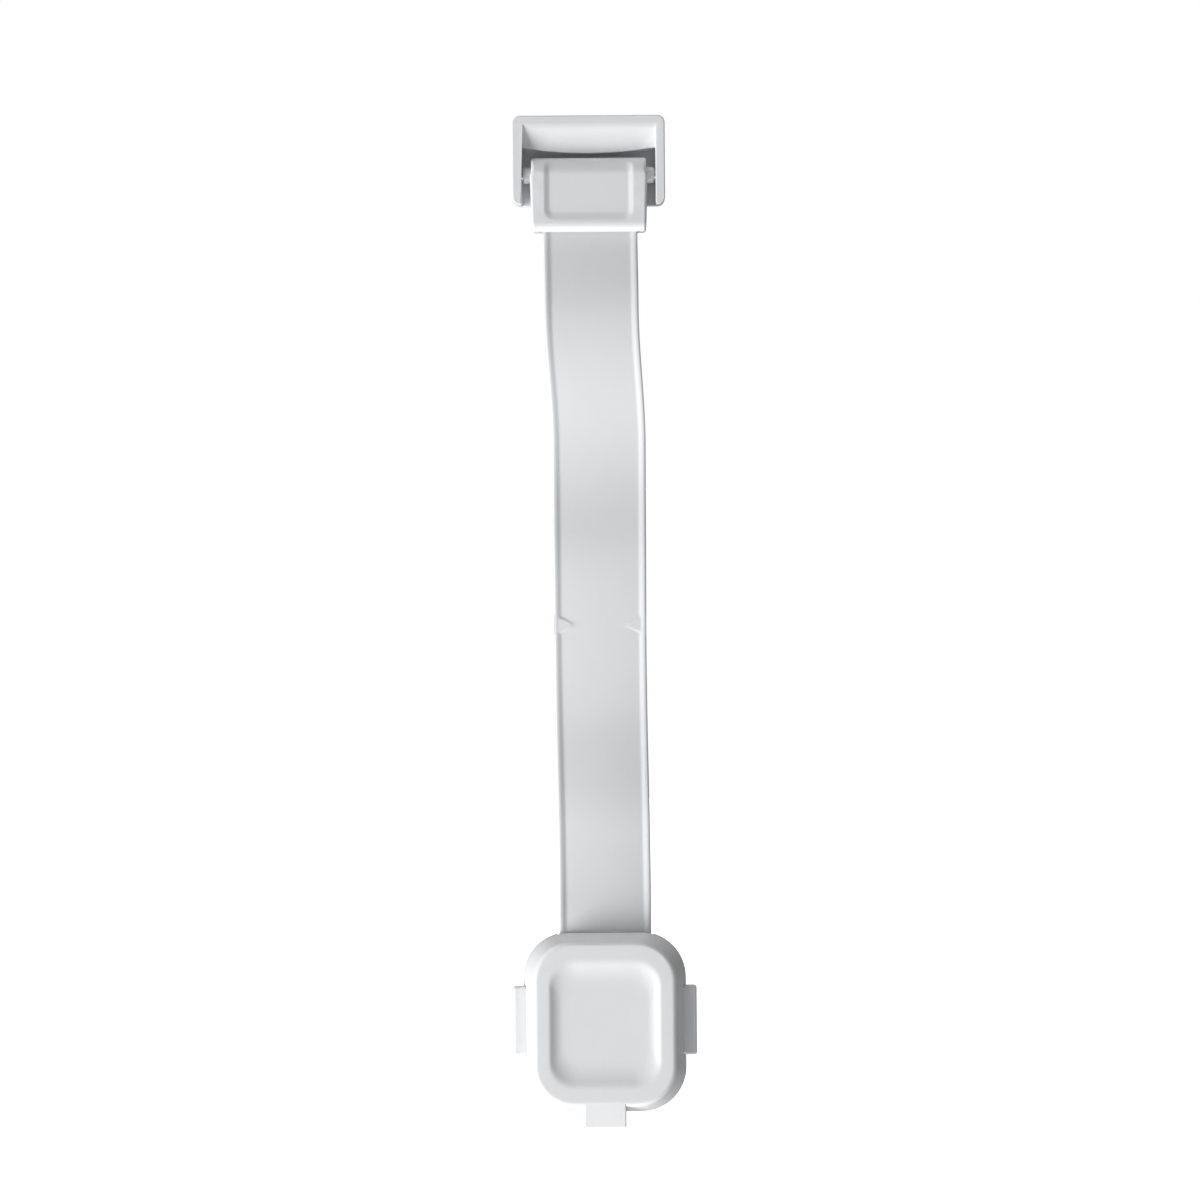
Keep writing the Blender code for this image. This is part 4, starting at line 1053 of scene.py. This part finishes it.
def make_button(side, tag):
    """A squeeze button: a rounded bar outside, a flange behind its window and a foot for spring and hook."""
    node = NodeRange(f"{tag}_button")
    centre = ((BUTTON_BACK + BUTTON_FRONT) / 2, RAISED[1])
    half_depth = (BUTTON_FRONT - BUTTON_BACK) / 2
    outer = node.high_x if side > 0 else node.low_x
    stations = [(HEAD_X + side * BUTTON_INNER, 0.0)]
    stations += [(outer - side * (BUTTON_EDGE - rise), inset) for inset, rise in fillet_steps(BUTTON_EDGE)]
    rings = []
    for x, inset in stations:
        corner = max(BUTTON_CORNER - inset, BUTTON_CORNER_LEAST)
        outline = rounded_rectangle(half_depth - inset, BUTTON_HALF_HEIGHT - inset, corner, centre, 6)
        rings.append([place(x, depth, z) for depth, z in outline])
    button = loft_piece(f"{tag}_squeeze_button", rings)
    flange_z = (-FLANGE_HALF_HEIGHT, FLANGE_HALF_HEIGHT)
    join(button, side_box("flange", side, RAISED, FLANGE_X, (BUTTON_BACK, FLANGE_FRONT), flange_z))
    foot_z = (-FOOT_HALF_HEIGHT, FOOT_HALF_HEIGHT)
    join(button, side_box("foot", side, HEAD, FOOT_X, (BUTTON_BACK, FOOT_FRONT), foot_z))
    settle_normals(button)
    install(button, f"{tag}_button", f"{tag}_button", "white_plastic")


def make_catch():
    """The plate that stays on the door, with a socket for each hook."""
    node = NodeRange("catch_base")
    base = plate("catch_plate", node.halves, CATCH_CORNER, node.depths, node.middle, CATCH_EDGES)
    for side, tag in SIDES:
        hook = NodeRange(f"catch_hook_{tag}")
        across = (HOOK_INNER - SOCKET_GAP, HOOK_OUTER + SOCKET_GAP)
        heights = (hook.low_z - SOCKET_GAP, hook.high_z + SOCKET_GAP)
        cut(base, side_box("socket", side, (node.middle[0], 0), across, SOCKET_DEPTHS, heights))
    settle_normals(base)
    install(base, "catch", "catch_base", "white_plastic")


def make_hook(side, tag):
    """A snap hook with a nose at its front."""
    name = f"catch_hook_{tag}"
    node = NodeRange(name)
    outline = [(HOOK_INNER, node.back), (HOOK_OUTER, node.back), (HOOK_OUTER, HOOK_NOSE_DEPTHS[0])]
    outline += [(HOOK_NOSE, depth) for depth in HOOK_NOSE_DEPTHS]
    outline += [(HOOK_OUTER, node.front), (HOOK_INNER, node.front)]
    points = [(HEAD_X + side * across, depth) for across, depth in outline]
    hook = prism(f"snap_hook_{tag}", points, node.low_z, node.high_z, place)
    round_edges(hook, HOOK_EDGE, 3)
    install(hook, "catch", name, "inner_plastic")
    anchor = place(HEAD_X + side * HOOK_PRESSED_TO, node.front, HEAD_Z)
    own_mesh(hook)


def make_back_plate():
    """Closes the head: slots for the hooks, a seat for the springs and a notch for the clamp bar."""
    node = NodeRange("latch_back_plate")
    halves = (node.half_x, HEAD_Z - node.low_z)
    depths = (node.back, BACK_PLATE_FRONT)
    cover = plate("latch_back_cover", halves, BACK_PLATE_CORNER, depths, HEAD, BACK_PLATE_EDGES)
    seat_low = (HEAD_X - SEAT_HALF[0], BACK_PLATE_FRONT - SEAT_SINK, HEAD_Z - SEAT_HALF[1])
    seat_high = (HEAD_X + SEAT_HALF[0], node.front, HEAD_Z + SEAT_HALF[1])
    join(cover, round_edges(box("seat", seat_low, seat_high), SEAT_EDGE, 2))
    slot_z = (-HOOK_SLOT_HALF_HEIGHT, HOOK_SLOT_HALF_HEIGHT)
    for side in (-1, 1):
        cut(cover, side_box("hook_slot", side, HEAD, HOOK_SLOT_X, BACK_PLATE_CUT, slot_z))
    bar = NodeRange("strap_clamp_bar")
    notch_low = (bar.low_x - BAR_NOTCH_SIDE, BACK_PLATE_CUT[0], bar.low_z - BAR_NOTCH_BELOW)
    notch_high = (bar.high_x + BAR_NOTCH_SIDE, BACK_PLATE_CUT[1], bar.high_z + BAR_NOTCH_ABOVE)
    cut(cover, box("bar_notch", notch_low, notch_high))
    for number in HEAD_SCREWS:
        sink_screw(cover, f"latch_screw_{number}", SCREW_SINK_RADIUS, BACK_PLATE_CUT[1])
    for x, z, radius in EJECTOR_MARKS:
        mark_x, mark_z = HEAD_X + x * MM, HEAD_Z + z * MM
        end = (mark_x, node.back + EJECTOR_DEPTH, mark_z)
        cut(cover, rod("ejector", radius * MM, (mark_x, 0, mark_z), end, 40))
    settle_normals(cover)
    install(cover, "latch", "latch_back_plate", "inner_plastic")


def sink_screw(piece, screw_node, sink_radius, reach):
    """A counterbore for a screw's head and a hole for its shank."""
    screw = NodeRange(screw_node)
    x, z = screw.middle
    cut(piece, rod("sink", sink_radius, (x, 0, z), (x, screw.back + SCREW_SINK_DEPTH, z), 40))
    cut(piece, rod("hole", SCREW_HOLE_RADIUS, (x, 0, z), (x, reach, z), 32))


def make_clamp_plate():
    """The plate behind the strap's top end."""
    node = NodeRange("strap_end_clamp")
    clamp = plate("strap_end_clamp_plate", node.halves, CLAMP_CORNER, node.depths, node.middle, CLAMP_EDGES)
    for _, tag in SIDES:
        sink_screw(clamp, f"strap_end_screw_{tag}", CLAMP_SINK_RADIUS, CLAMP_HOLE_REACH)
    settle_normals(clamp)
    install(clamp, "strap_end", "strap_end_clamp", "inner_plastic")


def make_clamp_bar():
    """The bar with two pegs that holds the strap in the head."""
    node = NodeRange("strap_clamp_bar")
    depths = (node.back, node.back + BAR_THICKNESS)
    bar = plate("strap_peg_bar", node.halves, BAR_CORNER, depths, node.middle, BAR_EDGES)
    z = node.middle[1] + PEG_FROM_BAR_MIDDLE
    for side in (-1, 1):
        x = node.middle[0] + side * PEG_X
        join(bar, rod("peg", PEG_RADIUS, (x, node.back + PEG_ROOT, z), (x, node.front, z), 32, PEG_CHAMFER))
    settle_normals(bar)
    install(bar, "latch", "strap_clamp_bar", "inner_plastic")


def round_ring(x, z, depth, radii):
    """A ring round an axis along Y, with one radius for each of its points."""
    ring = []
    for k, radius in enumerate(radii):
        angle = math.tau * k / len(radii)
        ring.append(place(x + radius * math.cos(angle), depth, z + radius * math.sin(angle)))
    return ring


def thread_rings(x, z, start, tip):
    """Rings of a threaded shank whose thread climbs once every pitch, ending in a point."""
    rings = []
    for i in range(THREAD_STEPS + 1):
        depth = start + (tip - start) * i / THREAD_STEPS
        room = min(1.0, (tip - depth) / THREAD_POINT + THREAD_POINT_LEAST)
        radii = []
        for k in range(SCREW_SIDES):
            wave = abs(((depth - start) / THREAD_PITCH - k / SCREW_SIDES) % 1.0 - 0.5) * 2
            radii.append((THREAD_CORE + (THREAD_CREST - THREAD_CORE) * smooth_step(wave, 0.35, 0.95)) * room)
        rings.append(round_ring(x, z, depth, radii))
    return rings


def make_screw(name, body):
    """A pan-head screw with a cross recess and a threaded shank."""
    node = NodeRange(name)
    x, z = node.middle
    rings = []
    for share, height in SCREW_HEAD_PROFILE:
        rings.append(round_ring(x, z, node.back + height, [SCREW_HEAD_RADIUS * share] * SCREW_SIDES))
    lip = [SCREW_HEAD_RADIUS - SCREW_HEAD_LIP] * SCREW_SIDES
    rings.append(round_ring(x, z, node.back + SCREW_HEAD_HEIGHT, lip))
    rings += thread_rings(x, z, node.back + SCREW_HEAD_HEIGHT, node.front)
    screw = loft_piece(name.replace("screw", "pan_screw"), rings, 40)
    arm, half, deep = SCREW_CROSS
    floor = node.back + deep
    cut(screw, box("recess", (x - arm, 0, z - half), (x + arm, floor, z + half)))
    cut(screw, box("recess", (x - half, 0, z - arm), (x + half, floor, z + arm)))
    install(screw, body, name, "steel")


def make_pin():
    node = NodeRange("hinge_pin")
    pin = rod("hinge_steel_pin", PIN_RADIUS, (node.low_x, *HINGE), (node.high_x, *HINGE), 48, PIN_CHAMFER)
    install(pin, "anchor", "hinge_pin", "steel")


def coil_rings(start, end, depth, z, coil_radius):
    """Rings round the wire of a coil along X, whose turns close up towards both ends."""
    rings = []
    for share in shares(SPRING_TURNS * SPRING_STEPS_PER_TURN):
        along = start + (end - start) * (share - SPRING_CLOSING * math.sin(math.tau * share))
        angle = math.tau * SPRING_TURNS * share
        out = Vector((0, -math.cos(angle), math.sin(angle)))
        centre = place(along, depth, z) + out * coil_radius
        ring = []
        for k in range(SPRING_WIRE_SIDES):
            turn = math.tau * k / SPRING_WIRE_SIDES
            ring.append(centre + SPRING_WIRE * (out * math.cos(turn) + Vector((1, 0, 0)) * math.sin(turn)))
        rings.append(ring)
    return rings


def make_spring(side, tag):
    """A compression spring with closed ends between the back plate's seat and a button."""
    name = f"{tag}_button_spring"
    node = NodeRange(name)
    depth, z = (node.back + node.front) / 2, node.middle[1]
    start, end = node.low_x + SPRING_WIRE, node.high_x - SPRING_WIRE
    spring = loft_piece(f"{tag}_coil_spring", coil_rings(start, end, depth, z, node.half_z - SPRING_WIRE))
    install(spring, "latch", name, "steel")
    anchor = place(node.low_x if side > 0 else node.high_x, depth, z)
    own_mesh(spring)


# The photographer's set


def soft_light(name, direction, distance, size, share):
    """A softbox that lights a white surface facing it to share of full brightness."""
    light = bpy.data.lights.new(name, "AREA")
    light.shape = "SQUARE"
    light.size = size
    light.energy = share * math.pi**2 * distance**2
    lamp = bpy.data.objects.new(name, light)
    bpy.context.scene.collection.objects.link(lamp)
    towards = Vector(direction).normalized()
    lamp.location = CAMERA_TARGET + towards * distance
    lamp.rotation_euler = towards.to_track_quat("Z", "Y").to_euler()
    lamp.visible_camera = False


def make_world():
    """Pale surroundings: white to the camera, dim as a light."""
    world = bpy.data.worlds.new("studio")
    bpy.context.scene.world = world
    world.use_nodes = True
    tree = world.node_tree
    background = tree.nodes["Background"]
    set_inputs(background, Color=PURE_WHITE, Strength=WORLD_STRENGTH)
    backdrop = add_node(tree, "Background", Color=PURE_WHITE)
    path = add_node(tree, "LightPath")
    mix = add_node(tree, "MixShader")
    tree.links.new(path.outputs["Is Camera Ray"], mix.inputs["Fac"])
    tree.links.new(background.outputs["Background"], mix.inputs[1])
    tree.links.new(backdrop.outputs["Background"], mix.inputs[2])
    tree.links.new(mix.outputs["Shader"], tree.nodes["World Output"].inputs["Surface"])


def make_floor():
    """A pale floor a little below the object, which neither shades nor colours it."""
    half = FLOOR_HALF_WIDTH
    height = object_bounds()[0].z - FLOOR_DROP
    corners = [(-half, -half), (half, -half), (half, half), (-half, half)]
    bm = bmesh.new()
    bm.faces.new([bm.verts.new((x, y, height)) for x, y in corners])
    floor = make_piece("floor", bm)
    if floor.data.polygons[0].normal.z < 0:
        floor.data.flip_normals()
    material, _, shader = new_material("floor")
    set_inputs(shader, Base_Color=(0.9, 0.9, 0.9, 1.0), Roughness=0.9)
    set_inputs(shader, Emission_Color=PURE_WHITE, Emission_Strength=FLOOR_GLOW)
    floor.data.materials.append(material)
    floor.visible_diffuse = floor.visible_glossy = floor.visible_shadow = False


def make_camera():
    camera = bpy.data.cameras.new("camera")
    camera.lens = CAMERA_LENS
    camera.sensor_width = 36.0
    camera.clip_end = 20.0
    holder = bpy.data.objects.new("camera", camera)
    bpy.context.scene.collection.objects.link(holder)
    holder.location = CAMERA_TARGET - Vector((0, CAMERA_DISTANCE, 0))
    holder.rotation_euler = (math.radians(90), math.radians(CAMERA_ROLL), 0)
    bpy.context.scene.camera = holder


def make_set():
    make_world()
    make_camera()
    for light in LIGHTS:
        soft_light(*light)
    bpy.context.scene.view_settings.view_transform = "Standard"
    make_floor()


for old in list(bpy.data.objects):
    bpy.data.objects.remove(old)
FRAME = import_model()
# The latch head's middle is the catch's middle
HEAD = HEAD_X, HEAD_Z = NodeRange("catch_base").middle
RAISED = (HEAD_X, HEAD_Z + BUTTON_RAISE)

MATERIALS = {
    "white_plastic": moulded_plastic("white_plastic", (0.80, 0.81, 0.825), (0.775, 0.787, 0.80), 0.36),
    "inner_plastic": moulded_plastic("inner_plastic", (0.75, 0.76, 0.775), (0.725, 0.735, 0.75), 0.48, 0.5),
    "strap_plastic": moulded_plastic(
        "strap_plastic", (0.79, 0.80, 0.815), (0.77, 0.78, 0.795), 0.40, grain=0.3, flow=0.06, streaks=0.15
    ),
    "foam_tape": foam_material(),
    "steel": steel_material(),
}

make_anchor()
make_pad("anchor", ANCHOR_PAD_CORNER)
make_pad("catch", CATCH_PAD_CORNER)
make_strap_end()
make_strap()
make_cover()
make_back_plate()
make_clamp_plate()
make_clamp_bar()
make_catch()
make_pin()
for side, tag in SIDES:
    make_button(side, tag)
    make_spring(side, tag)
    make_hook(side, tag)
    make_screw(f"strap_end_screw_{tag}", "strap_end")
for number in HEAD_SCREWS:
    make_screw(f"latch_screw_{number}", "latch")
make_set()
